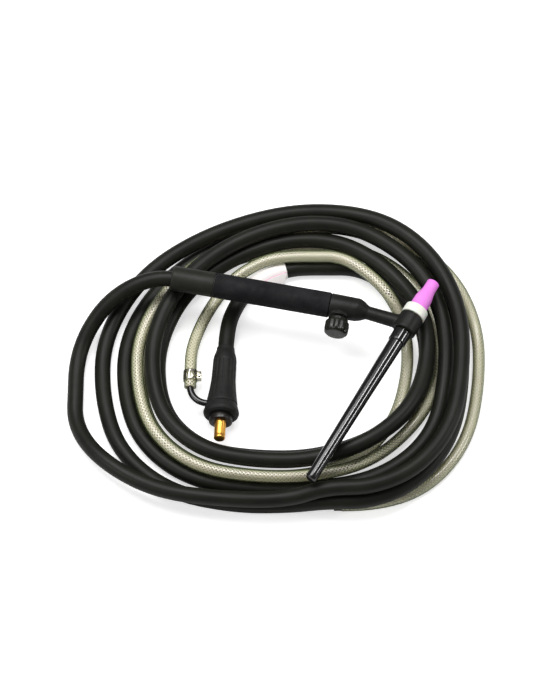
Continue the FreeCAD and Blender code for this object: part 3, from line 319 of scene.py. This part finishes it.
def cord_marks(tree):
    """What the sweep keeps on a cord: the run along it, and the way out from its middle in two parts."""
    run = add(tree, "ShaderNodeAttribute", attribute_name="run").outputs["Fac"]
    outwards = add(tree, "ShaderNodeAttribute", attribute_name="around").outputs["Vector"]
    parts = add(tree, "ShaderNodeSeparateXYZ", {"Vector": outwards})
    return run, parts.outputs["X"], parts.outputs["Y"]


def cable_rubber(settings):
    # Extruded rubber jacket: near black, with a soft sheen along its length and a faint dusty bloom
    material, tree = new_material("Extruded rubber")
    place = add(tree, "ShaderNodeTexCoord").outputs["Object"]
    run, across, upwards = cord_marks(tree)
    # The marks of the extrusion are about 30 mm long and under 1 mm wide
    marks_round, stretch = 8.0, 4.0
    along = add(tree, "ShaderNodeMath", {0: run, 1: stretch}, operation="MULTIPLY")
    drawn = add(tree, "ShaderNodeCombineXYZ", {"X": along, "Y": across, "Z": upwards})
    marks = speckle(tree, drawn, marks_round, detail=5.0)
    tone = add(tree, "ShaderNodeMix", {
        "Factor": speckle(tree, place, BLOOM_PATCHES, detail=5.0), "A": tuple(settings.cable_rubber),
        "B": tuple(settings.cable_bloom)}, data_type="RGBA")
    shader = add(tree, "ShaderNodeBsdfPrincipled", {
        "Base Color": tone, "Specular IOR Level": 0.22,
        "Roughness": add(tree, "ShaderNodeMapRange", {"Value": marks, "To Min": 0.38, "To Max": 0.54}),
        "Normal": add(tree, "ShaderNodeBump", {"Height": marks, "Strength": 0.2, "Distance": 0.0001})})
    add(tree, "ShaderNodeOutputMaterial", {"Surface": shader})
    return material


def clear_vinyl(settings):
    # Clear vinyl wall: see-through in the middle, green where it is looked through along its depth, glossy
    material, tree = new_material("Clear vinyl")
    depth = add(tree, "ShaderNodeLayerWeight", {"Blend": 0.35}).outputs["Facing"]
    through = add(tree, "ShaderNodeBsdfTransparent", {"Color": tuple(settings.hose_tint)})
    body = add(tree, "ShaderNodeBsdfPrincipled", {
        "Base Color": tuple(settings.hose_edge), "Roughness": 0.3})
    wall = add(tree, "ShaderNodeMixShader", {
        0: add(tree, "ShaderNodeMapRange", {"Value": depth, "To Max": 0.65}), 1: through, 2: body})
    mirror = add(tree, "ShaderNodeFresnel", {"IOR": 1.5})
    gloss = add(tree, "ShaderNodeBsdfGlossy", {"Roughness": 0.15})
    shader = add(tree, "ShaderNodeMixShader", {0: mirror, 1: wall, 2: gloss})
    add(tree, "ShaderNodeOutputMaterial", {"Surface": shader})
    return material


def white_braid(settings):
    # Polyester braid moulded into the hose: cream threads laid both ways round it, open between them.
    # The real threads lie closer together; these are drawn 3 mm apart, as coarse as they need to show
    material, tree = new_material("Polyester braid")
    run, across, upwards = cord_marks(tree)
    angle = add(tree, "ShaderNodeMath", {0: upwards, 1: across}, operation="ARCTAN2")
    strands = settings.braid_strands
    per_metre = strands / (settings.braid_diameter / 2)
    families = []
    for sense in (1.0, -1.0):
        turn = add(tree, "ShaderNodeMath", {0: run, 1: sense * per_metre}, operation="MULTIPLY")
        phase = add(tree, "ShaderNodeMath", {0: angle, 1: strands, 2: turn}, operation="MULTIPLY_ADD")
        wave = add(tree, "ShaderNodeMath", {0: phase}, operation="COSINE")
        families.append(add(tree, "ShaderNodeMapRange", {
            "Value": wave, "From Min": 0.3, "From Max": 0.55}))
    braid = add(tree, "ShaderNodeMath", {0: families[0], 1: families[1]}, operation="MAXIMUM")
    opening = add(tree, "ShaderNodeBsdfTransparent", {"Color": tuple(settings.hose_inside)})
    thread = add(tree, "ShaderNodeBsdfPrincipled", {
        "Base Color": tuple(settings.hose_braid), "Roughness": 0.35,
        "Normal": add(tree, "ShaderNodeBump", {"Height": braid, "Strength": 0.5, "Distance": 0.0003})})
    shader = add(tree, "ShaderNodeMixShader", {
        0: add(tree, "ShaderNodeMapRange", {"Value": braid, "To Max": 0.95}), 1: opening, 2: thread})
    add(tree, "ShaderNodeOutputMaterial", {"Surface": shader})
    return material


def blank_tag(settings):
    # Blank plastic-coated paper tag: soft white, with pink painted shade along its crease
    material, tree = new_material("Blank tag")
    from_shaded_crease = add(tree, "ShaderNodeAttribute", attribute_name="from_shaded_crease").outputs["Fac"]
    # Painted shade: the crease's pink fades to the tag's white a short way out from the fold
    white = add(tree, "ShaderNodeMapRange", {"Value": from_shaded_crease, "From Min": 0.15, "From Max": 0.5})
    tone = add(tree, "ShaderNodeMix", {
        "Factor": white, "A": tuple(settings.tag_crease_shade), "B": tuple(settings.tag)}, data_type="RGBA")
    shader = add(tree, "ShaderNodeBsdfPrincipled", {"Base Color": tone, "Roughness": 0.4})
    add(tree, "ShaderNodeOutputMaterial", {"Surface": shader})
    return material


def torch_materials(settings):
    """Materials of the torch by the slot they paint."""
    return {
        # Foam-backed rubber grip: matt and flat, hardly any highlight
        "grip": moulding("Matt grip rubber", settings.grip, lighter=0.012, gloss=(0.62, 0.8), grain_mm=0.35,
                         relief=0.35, shine=0.15),
        # Smooth rubber boot: satin, a little greener and lighter than the grip
        "boot_black": moulding("Satin boot rubber", settings.boot, lighter=0.008, gloss=(0.42, 0.56),
                               grain_mm=0.8, relief=0.12, shine=0.22),
        # Phenolic moulding: satin black with a faint orange peel
        "moulded_black": moulding("Phenolic moulding", settings.moulding, lighter=0.008, gloss=(0.4, 0.52),
                                  grain_mm=1.2, relief=0.12, shine=0.22),
        # Knob of the same moulding, polished by handling
        "knob_black": moulding("Knob moulding", settings.knob, lighter=0.006, gloss=(0.22, 0.34),
                               grain_mm=0.9, relief=0.12, shine=0.35),
        # Polished phenolic cap: deep black with long sharp highlights
        "cap_black": moulding("Polished cap", settings.cap, lighter=0.002, gloss=(0.17, 0.2), grain_mm=2.5,
                              relief=0.0, Coat_Weight=0.5, Coat_Roughness=0.14),
        # Unglazed aluminium-oxide ceramic: flat pink with a chalky grain
        "ceramic_pink": moulding("Pink ceramic", settings.ceramic, lighter=0.1, gloss=(0.5, 0.68),
                                 grain_mm=0.25, relief=0.25),
        # Fluoropolymer ring: milky white, soft sheen
        "insulator_white": moulding("White insulator", settings.insulator, lighter=0.15, gloss=(0.35, 0.5),
                                    grain_mm=1.0, relief=0.08, Subsurface_Weight=0.2,
                                    Subsurface_Scale=0.002),
        # Polyamide liner inside the handle: plain grey, satin
        "liner_grey": moulding("Handle liner", settings.liner, lighter=0.1, gloss=(0.45, 0.6), grain_mm=0.6,
                               relief=0.1),
        # Moulded rubber rings: black with a dull shine
        "seal": moulding("Seal rubber", settings.seal, lighter=0.01, gloss=(0.35, 0.5), grain_mm=0.6,
                         relief=0.1),
        # Turned brass: warm yellow, fine tool marks
        "brass": turned_metal("Turned brass", settings.brass, rough=0.28),
        # Turned copper alloy, redder than the brass
        "copper_collet": turned_metal("Turned copper", settings.copper, rough=0.3)}


def plug_materials(settings):
    """Materials of the plug, the hose end and the tag by the slot they paint."""
    return {
        # Moulded plug rubber: dull dark grey, fine texture
        "plug_rubber": moulding("Plug rubber", settings.sleeve, lighter=0.008, gloss=(0.5, 0.64),
                                grain_mm=0.5, relief=0.3, shine=0.25),
        # Pressed insulating disc: darker, satin
        "plug_disc": moulding("Plug disc", settings.disc, lighter=0.01, gloss=(0.3, 0.42), grain_mm=0.8,
                              relief=0.1),
        # Bare brass pin: strong yellow with a bright streak
        "brass": turned_metal("Bright brass", settings.pin, rough=0.34),
        # Glossy polyamide elbow: black with a wet streak
        "elbow_black": moulding("Polyamide elbow", settings.elbow, lighter=0.01, gloss=(0.14, 0.24),
                                grain_mm=1.5, relief=0.05, Coat_Weight=0.3),
        # Zinc-plated spring steel: bright, slightly warm
        "clamp_steel": turned_metal("Plated steel", settings.clamp, rough=0.2),
        "tag_white": blank_tag(settings)}


# Cords: a section swept along a curve, which keeps the run and the place round it for the material

def sweep_tree(material):
    """Node group that sweeps a round section along the curve, flat where it presses on the floor."""
    tree = bpy.data.node_groups.new("Swept cord", "GeometryNodeTree")
    face = tree.interface
    face.new_socket("Geometry", in_out="INPUT", socket_type="NodeSocketGeometry")
    sockets = {}
    for name, kind in (("Radius", "NodeSocketFloat"), ("Sides", "NodeSocketInt")):
        sockets[name] = face.new_socket(name, in_out="INPUT", socket_type=kind).identifier
    face.new_socket("Geometry", in_out="OUTPUT", socket_type="NodeSocketGeometry")
    given = add(tree, "NodeGroupInput").outputs
    line = add(tree, "GeometryNodeResampleCurve", {"Curve": given["Geometry"]}, mode="EVALUATED")
    run = add(tree, "GeometryNodeSplineParameter").outputs["Length"]
    marked = add(tree, "GeometryNodeStoreNamedAttribute", {"Geometry": line, "Name": "run", "Value": run},
                 data_type="FLOAT", domain="POINT")
    circle = add(tree, "GeometryNodeCurvePrimitiveCircle", {
        "Resolution": given["Sides"], "Radius": given["Radius"]})
    place = add(tree, "GeometryNodeInputPosition")
    outwards = add(tree, "ShaderNodeVectorMath", {0: place}, operation="NORMALIZE")
    ring = add(tree, "GeometryNodeStoreNamedAttribute", {
        "Geometry": circle, "Name": "around", "Value": outwards}, data_type="FLOAT_VECTOR", domain="POINT")
    tube = add(tree, "GeometryNodeCurveToMesh", {"Curve": marked, "Profile Curve": ring, "Fill Caps": True})
    # The floor holds the cord up, and the limits sideways are far away
    lowest = (-100.0, -100.0, 0.0)
    above_floor = add(tree, "ShaderNodeVectorMath", {0: place, 1: lowest}, operation="MAXIMUM")
    rested = add(tree, "GeometryNodeSetPosition", {"Geometry": tube, "Position": above_floor})
    smooth = add(tree, "GeometryNodeSetShadeSmooth", {"Geometry": rested})
    real = add(tree, "GeometryNodeRealizeInstances", {"Geometry": smooth})
    painted = add(tree, "GeometryNodeSetMaterial", {"Geometry": real, "Material": material})
    add(tree, "NodeGroupOutput", {"Geometry": painted})
    return tree, sockets


def link(thing):
    bpy.context.scene.collection.objects.link(thing)
    return thing


def evaluated_mesh(thing, name):
    graph = bpy.context.evaluated_depsgraph_get()
    mesh = bpy.data.meshes.new_from_object(
        thing.evaluated_get(graph), preserve_all_data_layers=True, depsgraph=graph)
    mesh.name = name
    return mesh


def smooth_line(name, points):
    """An object with one smooth spline over the control points, and the points along it."""
    data = bpy.data.curves.new(name + "_line", "CURVE")
    data.dimensions = "3D"
    data.resolution_u = 8
    spline = data.splines.new("NURBS")
    spline.points.add(len(points) - 1)
    for control, place in zip(spline.points, points):
        control.co = (*place, 1.0)
    spline.order_u = 3
    spline.use_endpoint_u = True
    curve = link(bpy.data.objects.new(name + "_line", data))
    line = evaluated_mesh(curve, name + "_line")
    return curve, [tuple(vertex.co) for vertex in line.vertices]


def swept_piece(name, points, radius, sides, material):
    """A round section swept along one smooth spline; with it, the points along its line."""
    curve, path = smooth_line(name, points)
    tree, sockets = sweep_tree(material)
    modifier = curve.modifiers.new("Sweep", "NODES")
    modifier.node_group = tree
    modifier[sockets["Radius"]] = radius
    modifier[sockets["Sides"]] = sides
    mesh = evaluated_mesh(curve, name)
    bpy.data.objects.remove(curve)
    if not mesh.polygons:
        raise RuntimeError(name + ": the sweep gave no faces")
    return link(bpy.data.objects.new(name, mesh)), path


# Pieces that take their shape from the solids

BODIES = frame["record"]["behaviour"]["bodies"]
BODY_OF = {node: body for body, members in BODIES.items() for node in members}
SLOT_OF = {part["node"]: part["material_slot"] for part in frame["record"]["subparts"]}


def settle(piece, material, *nodes):
    """Gives a piece its material, body and slot, and lets it stand for its nodes."""
    piece.data.materials.clear()
    piece.data.materials.append(material)
    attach(piece, BODY_OF[nodes[0]])
    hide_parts(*nodes)
    return piece


def paint(node, materials):
    """Paints a node that is shown as it is."""
    mesh = frame["nodes"][node].data
    mesh.materials.clear()
    mesh.materials.append(materials[SLOT_OF[node]])


def shape_of(node, name):
    """A new object with the node's shape, its triangles joined."""
    piece = link(bpy.data.objects.new(name, frame["nodes"][node].data.copy()))
    weld = piece.modifiers.new("Weld", "WELD")
    weld.merge_threshold = 0.000005
    return piece


def finish_shape(piece, sharp=None):
    """Applies what shapes the piece and shades it smooth, with edges sharper than the angle left crisp."""
    old = piece.data
    mesh = evaluated_mesh(piece, piece.name)
    piece.modifiers.clear()
    piece.data = mesh
    bpy.data.meshes.remove(old)
    mesh.shade_smooth()
    if sharp:
        mesh.set_sharp_from_angle(angle=sharp)


def face_outwards(mesh):
    """Recalculates the normals of a closed shape, so that it faces outwards."""
    shape = bmesh.new()
    shape.from_mesh(mesh)
    bmesh.ops.recalc_face_normals(shape, faces=shape.faces)
    shape.to_mesh(mesh)
    shape.free()


def worn_piece(node, name, material, edge, sharp=math.radians(30)):
    """The node's shape with its edges worn by a small bevel."""
    piece = shape_of(node, name)
    bevel = piece.modifiers.new("Worn edges", "BEVEL")
    bevel.width = edge
    bevel.segments = 2
    bevel.limit_method = "ANGLE"
    bevel.angle_limit = sharp
    finish_shape(piece, sharp)
    return settle(piece, material, node)


def soft_piece(node, name, material, cell, rounds=4):
    """The node's shape with its corners run together, as on a soft moulding."""
    piece = shape_of(node, name)
    cells = piece.modifiers.new("Cells", "REMESH")
    cells.mode = "VOXEL"
    cells.voxel_size = cell
    soften = piece.modifiers.new("Soften", "SMOOTH")
    soften.factor = 0.5
    soften.iterations = rounds
    finish_shape(piece)
    return settle(piece, material, node)


# Turned pieces, in metres: the axis of the head and of the valve, and how far along it each piece starts

HEAD = Vector((0.108303, 0.011091, 0.0415))
NOZZLE_WAY = Vector((0.496065, 0.868285, 0.0))
RING_START = 0.00805
NOZZLE_START = 0.0164
CAP_START = 0.0015
VALVE = Vector((0.056835, 0.026488, 0.0415))
VALVE_WAY = Vector((-0.194577, -0.980887, 0.0))
KNOB_START = 0.0116
# Corners of the outlines: place along the axis, radius, and how far back the corner starts to round
RING = [
    (0, 0.00465, 0), (0, 0.0096, 0.0011), (0.0082, 0.0094, 0.0014), (0.0082, 0.00465, 0), (0, 0.00465, 0)]
NOZZLE = [
    (0, 0.00465, 0), (0, 0.007, 0.0004), (0.0098, 0.0069, 0.003), (0.0172, 0.0051, 0.003),
    (0.0263, 0.005, 0.001), (0.0263, 0.0032, 0.0004), (0.0203, 0.0032, 0), (0.0129, 0.0033, 0),
    (0.009, 0.00465, 0), (0, 0.00465, 0)]
CAP = [
    (0, 0, 0), (0, 0.00345, 0.0003), (0.00615, 0.00345, 0), (0.00615, 0.0071, 0.0007),
    (0.01685, 0.0071, 0.0007), (0.01685, 0.0061, 0), (0.15235, 0.0045, 0.0026), (0.15235, 0, 0)]
KNOB = [
    (0, 0.0016, 0), (0, 0.0079, 0.0005), (0.0024, 0.0079, 0), (0.0026, 0.00965, 0.0018),
    (0.0128, 0.00945, 0.0036), (0.0128, 0, 0), (0.00885, 0, 0), (0.00885, 0.0016, 0), (0, 0.0016, 0)]
LATHE_STEPS = 120


def outline_points(outline, run=0.004, arc=6):
    """The outline drawn out: corners as small curves, long runs in short steps."""
    corners = [Vector(point[:2]) for point in outline]
    drawn = []
    for index, here in enumerate(corners):
        curve = [here]
        cut = outline[index][2]
        if cut:
            back = (corners[index - 1] - here).normalized() * cut
            on = (corners[index + 1] - here).normalized() * cut
            shares = [step / arc for step in range(arc + 1)]
            curve = [here + back * (1 - share) ** 2 + on * share ** 2 for share in shares]
        if drawn:
            last = drawn[-1]
            steps = max(1, math.ceil((curve[0] - last).length / run))
            drawn += [last.lerp(curve[0], step / steps) for step in range(1, steps)]
        drawn += curve
    return drawn


def turned_piece(node, name, outline, foot, way, material, flutes=0):
    """A piece turned about the axis that leaves its foot that way, with flutes cut in its side."""
    drawn = outline_points(outline)
    mesh = bpy.data.meshes.new(name)
    edges = [(index, index + 1) for index in range(len(drawn) - 1)]
    mesh.from_pydata([(point.y, 0, point.x) for point in drawn], edges, [])
    piece = link(bpy.data.objects.new(name, mesh))
    lathe = piece.modifiers.new("Lathe", "SCREW")
    lathe.steps = lathe.render_steps = LATHE_STEPS
    lathe.use_merge_vertices = True
    lathe.merge_threshold = 0.000002
    finish_shape(piece, math.radians(40))
    face_outwards(piece.data)
    if flutes:
        cut_flutes(piece.data, flutes)
    piece.data.transform(Matrix.Translation(foot) @ way.to_track_quat("Z", "Y").to_matrix().to_4x4())
    return settle(piece, material, node)


def cut_flutes(mesh, flutes, depth=0.0011, inner=0.0079):
    """Draws a turned piece's side inwards along its flutes, down to the inner radius."""
    outer = max(math.hypot(corner.co.x, corner.co.y) for corner in mesh.vertices)
    for corner in mesh.vertices:
        radius = math.hypot(corner.co.x, corner.co.y)
        if radius > inner:
            wave = 0.5 + 0.5 * math.cos(flutes * math.atan2(corner.co.y, corner.co.x))
            share = (radius - inner) / (outer - inner)
            shorter = 1 - depth * share * wave ** 2 / radius
            corner.co.x *= shorter
            corner.co.y *= shorter


# Stage, in metres: length and width of each lamp and its place, half the floor's side, and the camera's aim

KEY_LAMP = ((0.9, 0.9), (-0.35, 0.35, 1.4))
SIDE_LAMP = ((0.7, 0.7), (-1.1, -0.5, 0.8))
TOP_STRIP = ((0.36, 0.13), (0.442, 0.435, 1.41))
RIGHT_STRIP = ((0.3, 0.13), (1.4, -0.11, 0.74))
# Power of the right strip lamp against the top one
RIGHT_SHARE = 0.85
FLOOR_HALF = 3.0
AIM = Vector((0.0016, 0.0107, 0.0))
ELEVATION = math.radians(62)


# Operators

class TORCH_OT_cords(bpy.types.Operator):
    """Power cable and gas hose, each one unbroken length"""
    bl_idname = "torch.cords"
    bl_label = "Cable and hose"

    def execute(self, context):
        settings = context.scene.torch_cords
        points = CABLE_LEAD + coil_points(CABLE_STATIONS, 1) + CABLE_TAIL
        cable, path = swept_piece("power_cable", points, settings.cable_diameter / 2, settings.sides,
                                  cable_rubber(settings))
        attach(cable, "torch_and_leads")
        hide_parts("power_cable_lead", "power_cable_coil", "power_cable_tail")
        points = HOSE_LEAD + coil_points(HOSE_STATIONS, -1) + [HOSE_END]
        hose, path = swept_piece("gas_hose", points, settings.hose_diameter / 2, settings.sides,
                                 clear_vinyl(settings))
        braid, _ = swept_piece("hose_braid", points, settings.braid_diameter / 2, settings.sides,
                               white_braid(settings))
        for piece in (hose, braid):
            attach(piece, "torch_and_leads")
        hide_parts("gas_hose_lead", "gas_hose_coil")
        return {"FINISHED"}


class TORCH_OT_torch(bpy.types.Operator):
    """Handle, moulded body, valve knob, cup, insulating ring and back cap"""
    bl_idname = "torch.torch"
    bl_label = "Torch"

    def execute(self, context):
        settings = context.scene.torch_body
        paints = torch_materials(settings)
        cell, edge = settings.cell, settings.edge
        soft_piece("torch_body", "moulded_body", paints["moulded_black"], cell, rounds=12)
        soft_piece("handle_rear_boot", "rear_boot", paints["boot_black"], cell, rounds=3)
        turned_piece("gas_knob", "valve_knob", KNOB, VALVE + VALVE_WAY * KNOB_START, VALVE_WAY,
                     paints["knob_black"], flutes=10)
        worn_piece("handle_sleeve", "grip_sleeve", paints["grip"], edge)
        turned_piece("nozzle_gasket", "insulating_ring", RING, HEAD + NOZZLE_WAY * RING_START, NOZZLE_WAY,
                     paints["insulator_white"])
        turned_piece("nozzle", "ceramic_cup", NOZZLE, HEAD + NOZZLE_WAY * NOZZLE_START, NOZZLE_WAY,
                     paints["ceramic_pink"])
        turned_piece("back_cap", "long_cap", CAP, HEAD - NOZZLE_WAY * CAP_START, -NOZZLE_WAY,
                     paints["cap_black"])
        for node in ("handle_tube", "cable_ferrule", "neck_tube", "head_core", "valve_seat", "valve_stem",
                     "stem_o_ring", "collet_body", "collet", "cap_o_ring"):
            paint(node, paints)
        return {"FINISHED"}


class TORCH_OT_plug(bpy.types.Operator):
    """Cable plug with its brass pin, gas elbow, hose clamp and the blank tag"""
    bl_idname = "torch.plug"
    bl_label = "Plug and hose end"

    def execute(self, context):
        settings = context.scene.torch_plug
        torch = context.scene.torch_body
        paints = plug_materials(settings)
        # Brass inside the plug and at the hose's end painted dark brown as shade, so the sleeve showing
        # below the cable reads as shadow
        shade_paint = {"brass": turned_metal("Brass painted as shade", settings.brass_painted_as_shade, rough=0.45)}
        cell, edge = 0.8 * torch.cell, torch.edge
        soft_piece("plug_boot", "plug_sleeve", paints["plug_rubber"], cell)
        soft_piece("plug_body", "plug_ring", paints["plug_rubber"], cell)
        worn_piece("plug_flange", "plug_disc", paints["plug_disc"], 1.5 * edge)
        worn_piece("plug_pin", "contact_pin", paints["brass"], edge)
        worn_piece("gas_elbow", "elbow_tube", paints["elbow_black"], edge)
        for node, name in (("hose_clamp", "clamp_band"), ("clamp_screw", "clamp_bolt")):
            worn_piece(node, name, paints["clamp_steel"], 0.5 * edge)
        # These brass pieces get the painted shade
        for node in ("plug_core", "hose_sleeve", "gas_nipple"):
            paint(node, shade_paint)
        wrap = worn_piece("cable_tag", "tag_wrap", paints["tag_white"], 0.5 * edge)
        # The wrap lies away from the fold and gets none of the painted crease shade
        far = wrap.data.attributes.new("from_shaded_crease", "FLOAT", "POINT")
        far.data.foreach_set("value", [1.0] * len(wrap.data.vertices))
        flap = self.tag_flap(settings, paints["tag_white"])
        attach(flap, BODY_OF["cable_tag"])
        return {"FINISHED"}

    def tag_flap(self, settings, material):
        """The tag's two ends stuck together: a thin sheet that leaves the wrap and droops to the floor."""
        third, fourth = Vector(CABLE_TAIL[3]), Vector(CABLE_TAIL[4])
        first, last = (Vector(CABLE_TAIL[2]) + third) / 2, (fourth + Vector(CABLE_TAIL[5])) / 2
        curve, line = smooth_line("tag", [first, third, fourth, last])
        bpy.data.objects.remove(curve)
        rows = 9
        wrap_radius = 0.00685
        root_out, root_up = wrap_radius * 0.62, wrap_radius * 0.8
        least_reach, crease_shade_width = 0.0002, 0.002
        droop, droop_power, lean, corner_power = 0.9, 1.2, 0.3, 6
        vertices, crease_shade = [], []
        for index, place in enumerate(line):
            ahead = Vector(line[min(index + 1, len(line) - 1)]) - Vector(line[max(index - 1, 0)])
            along = ahead.normalized()
            outwards = Vector((-along.y, along.x, 0)).normalized()
            middle = 2 * index / (len(line) - 1) - 1
            reach = settings.tag_flap * (1 - middle ** corner_power) ** 0.5 + least_reach
            for row in range(rows):
                share = row / (rows - 1)
                up = Vector((0, 0, root_up - droop * reach * share ** droop_power))
                out = outwards * (root_out + reach * share)
                vertices.append(Vector(place) + out + up + along * lean * reach * share)
                # Distance from the wrap over the width of the painted crease shade; the material paints
                # shade where it is small
                crease_shade.append(share * reach / crease_shade_width)
        starts = [step * rows + row for step in range(len(line) - 1) for row in range(rows - 1)]
        mesh = bpy.data.meshes.new("tag_flap")
        mesh.from_pydata(vertices, [], [(a, a + 1, a + rows + 1, a + rows) for a in starts])
        mesh.attributes.new("from_shaded_crease", "FLOAT", "POINT").data.foreach_set("value", crease_shade)
        mesh.materials.append(material)
        flap = link(bpy.data.objects.new("tag_flap", mesh))
        thick = flap.modifiers.new("Thickness", "SOLIDIFY")
        thick.thickness = 0.0004
        finish_shape(flap)
        return flap


class TORCH_OT_stage(bpy.types.Operator):
    """White floor, soft lights and the camera"""
    bl_idname = "torch.stage"
    bl_label = "Stage"

    def execute(self, context):
        settings = context.scene.torch_stage
        strip = settings.strip_power
        self.floor(settings)
        self.light("key_light", settings.key_power, *KEY_LAMP)
        self.light("side_light", settings.side_power, *SIDE_LAMP)
        self.light("top_strip", strip, *TOP_STRIP)
        self.light("right_strip", RIGHT_SHARE * strip, *RIGHT_STRIP)
        self.room(context, settings)
        self.camera(context, settings)
        context.scene.view_settings.view_transform = "Standard"
        return {"FINISHED"}

    def floor(self, settings):
        mesh = bpy.data.meshes.new("floor")
        corners = [(x * FLOOR_HALF, y * FLOOR_HALF, 0) for x, y in ((-1, -1), (1, -1), (1, 1), (-1, 1))]
        mesh.from_pydata(corners, [], [(0, 1, 2, 3)])
        mesh.materials.append(self.floor_material(settings))
        return link(bpy.data.objects.new("floor", mesh))

    def camera(self, context, settings):
        data = bpy.data.cameras.new("camera")
        data.sensor_fit = "VERTICAL"
        data.sensor_height = 36.0
        data.lens = data.sensor_height * settings.camera_distance / settings.view_height
        camera = link(bpy.data.objects.new("camera", data))
        way = Vector((0.0, -math.cos(ELEVATION), math.sin(ELEVATION)))
        camera.location = AIM + way * settings.camera_distance
        camera.rotation_euler = way.to_track_quat("Z", "Y").to_euler()
        context.scene.camera = camera

    def floor_material(self, settings):
        # White paper sweep: even and matt, and brighter to the camera than to what stands on it
        material, tree = new_material("White sweep")
        plain = add(tree, "ShaderNodeBsdfDiffuse", {"Color": tuple(settings.floor_white)})
        lift = add(tree, "ShaderNodeEmission", {"Strength": settings.floor_lift})
        seen = add(tree, "ShaderNodeAddShader", {0: plain, 1: lift})
        camera_ray = add(tree, "ShaderNodeLightPath").outputs["Is Camera Ray"]
        shader = add(tree, "ShaderNodeMixShader", {0: camera_ray, 1: plain, 2: seen})
        add(tree, "ShaderNodeOutputMaterial", {"Surface": shader})
        return material

    def light(self, name, power, sides, place):
        """A flat lamp that faces the torch, its long side laid along the back cap."""
        data = bpy.data.lights.new(name, "AREA")
        data.energy = power
        data.shape = "RECTANGLE"
        data.size, data.size_y = sides
        lamp = link(bpy.data.objects.new(name, data))
        lamp.location = place
        back = Vector(place).normalized()
        along = (NOZZLE_WAY - back * NOZZLE_WAY.dot(back)).normalized()
        lamp.rotation_euler = Matrix((along, back.cross(along), back)).transposed().to_euler()
        return lamp

    def room(self, context, settings):
        world = bpy.data.worlds.new("Studio")
        world.use_nodes = True
        tree = world.node_tree
        tree.nodes.clear()
        even = add(tree, "ShaderNodeBackground", {"Color": (1.0, 1.0, 1.0, 1.0), "Strength": settings.sky})
        add(tree, "ShaderNodeOutputWorld", {"Surface": even})
        context.scene.world = world


class TORCH_PT_panel(bpy.types.Panel):
    """Sizes and colours of the torch, and what builds it"""
    bl_idname = "TORCH_PT_panel"
    bl_label = "Welding torch"
    bl_space_type = "VIEW_3D"
    bl_region_type = "UI"
    bl_category = "Torch"

    def draw(self, context):
        for operator in OPERATORS:
            self.layout.operator(operator.bl_idname)
        for name, group in SETTINGS.items():
            box = self.layout.box()
            for field in group.__annotations__:
                box.prop(getattr(context.scene, name), field)


OPERATORS = (TORCH_OT_stage, TORCH_OT_torch, TORCH_OT_plug, TORCH_OT_cords)
CLASSES = (*SETTINGS.values(), *OPERATORS, TORCH_PT_panel)


def register():
    for item in CLASSES:
        bpy.utils.register_class(item)
    for name, group in SETTINGS.items():
        setattr(bpy.types.Scene, name, bpy.props.PointerProperty(type=group))


def unregister():
    for name in SETTINGS:
        delattr(bpy.types.Scene, name)
    for item in reversed(CLASSES):
        bpy.utils.unregister_class(item)


def main():
    register()
    # The cords come last
    for build in (bpy.ops.torch.stage, bpy.ops.torch.torch, bpy.ops.torch.plug, bpy.ops.torch.cords):
        if build() != {"FINISHED"}:
            raise RuntimeError("a piece was not finished")


if __name__ == "__main__":
    main()
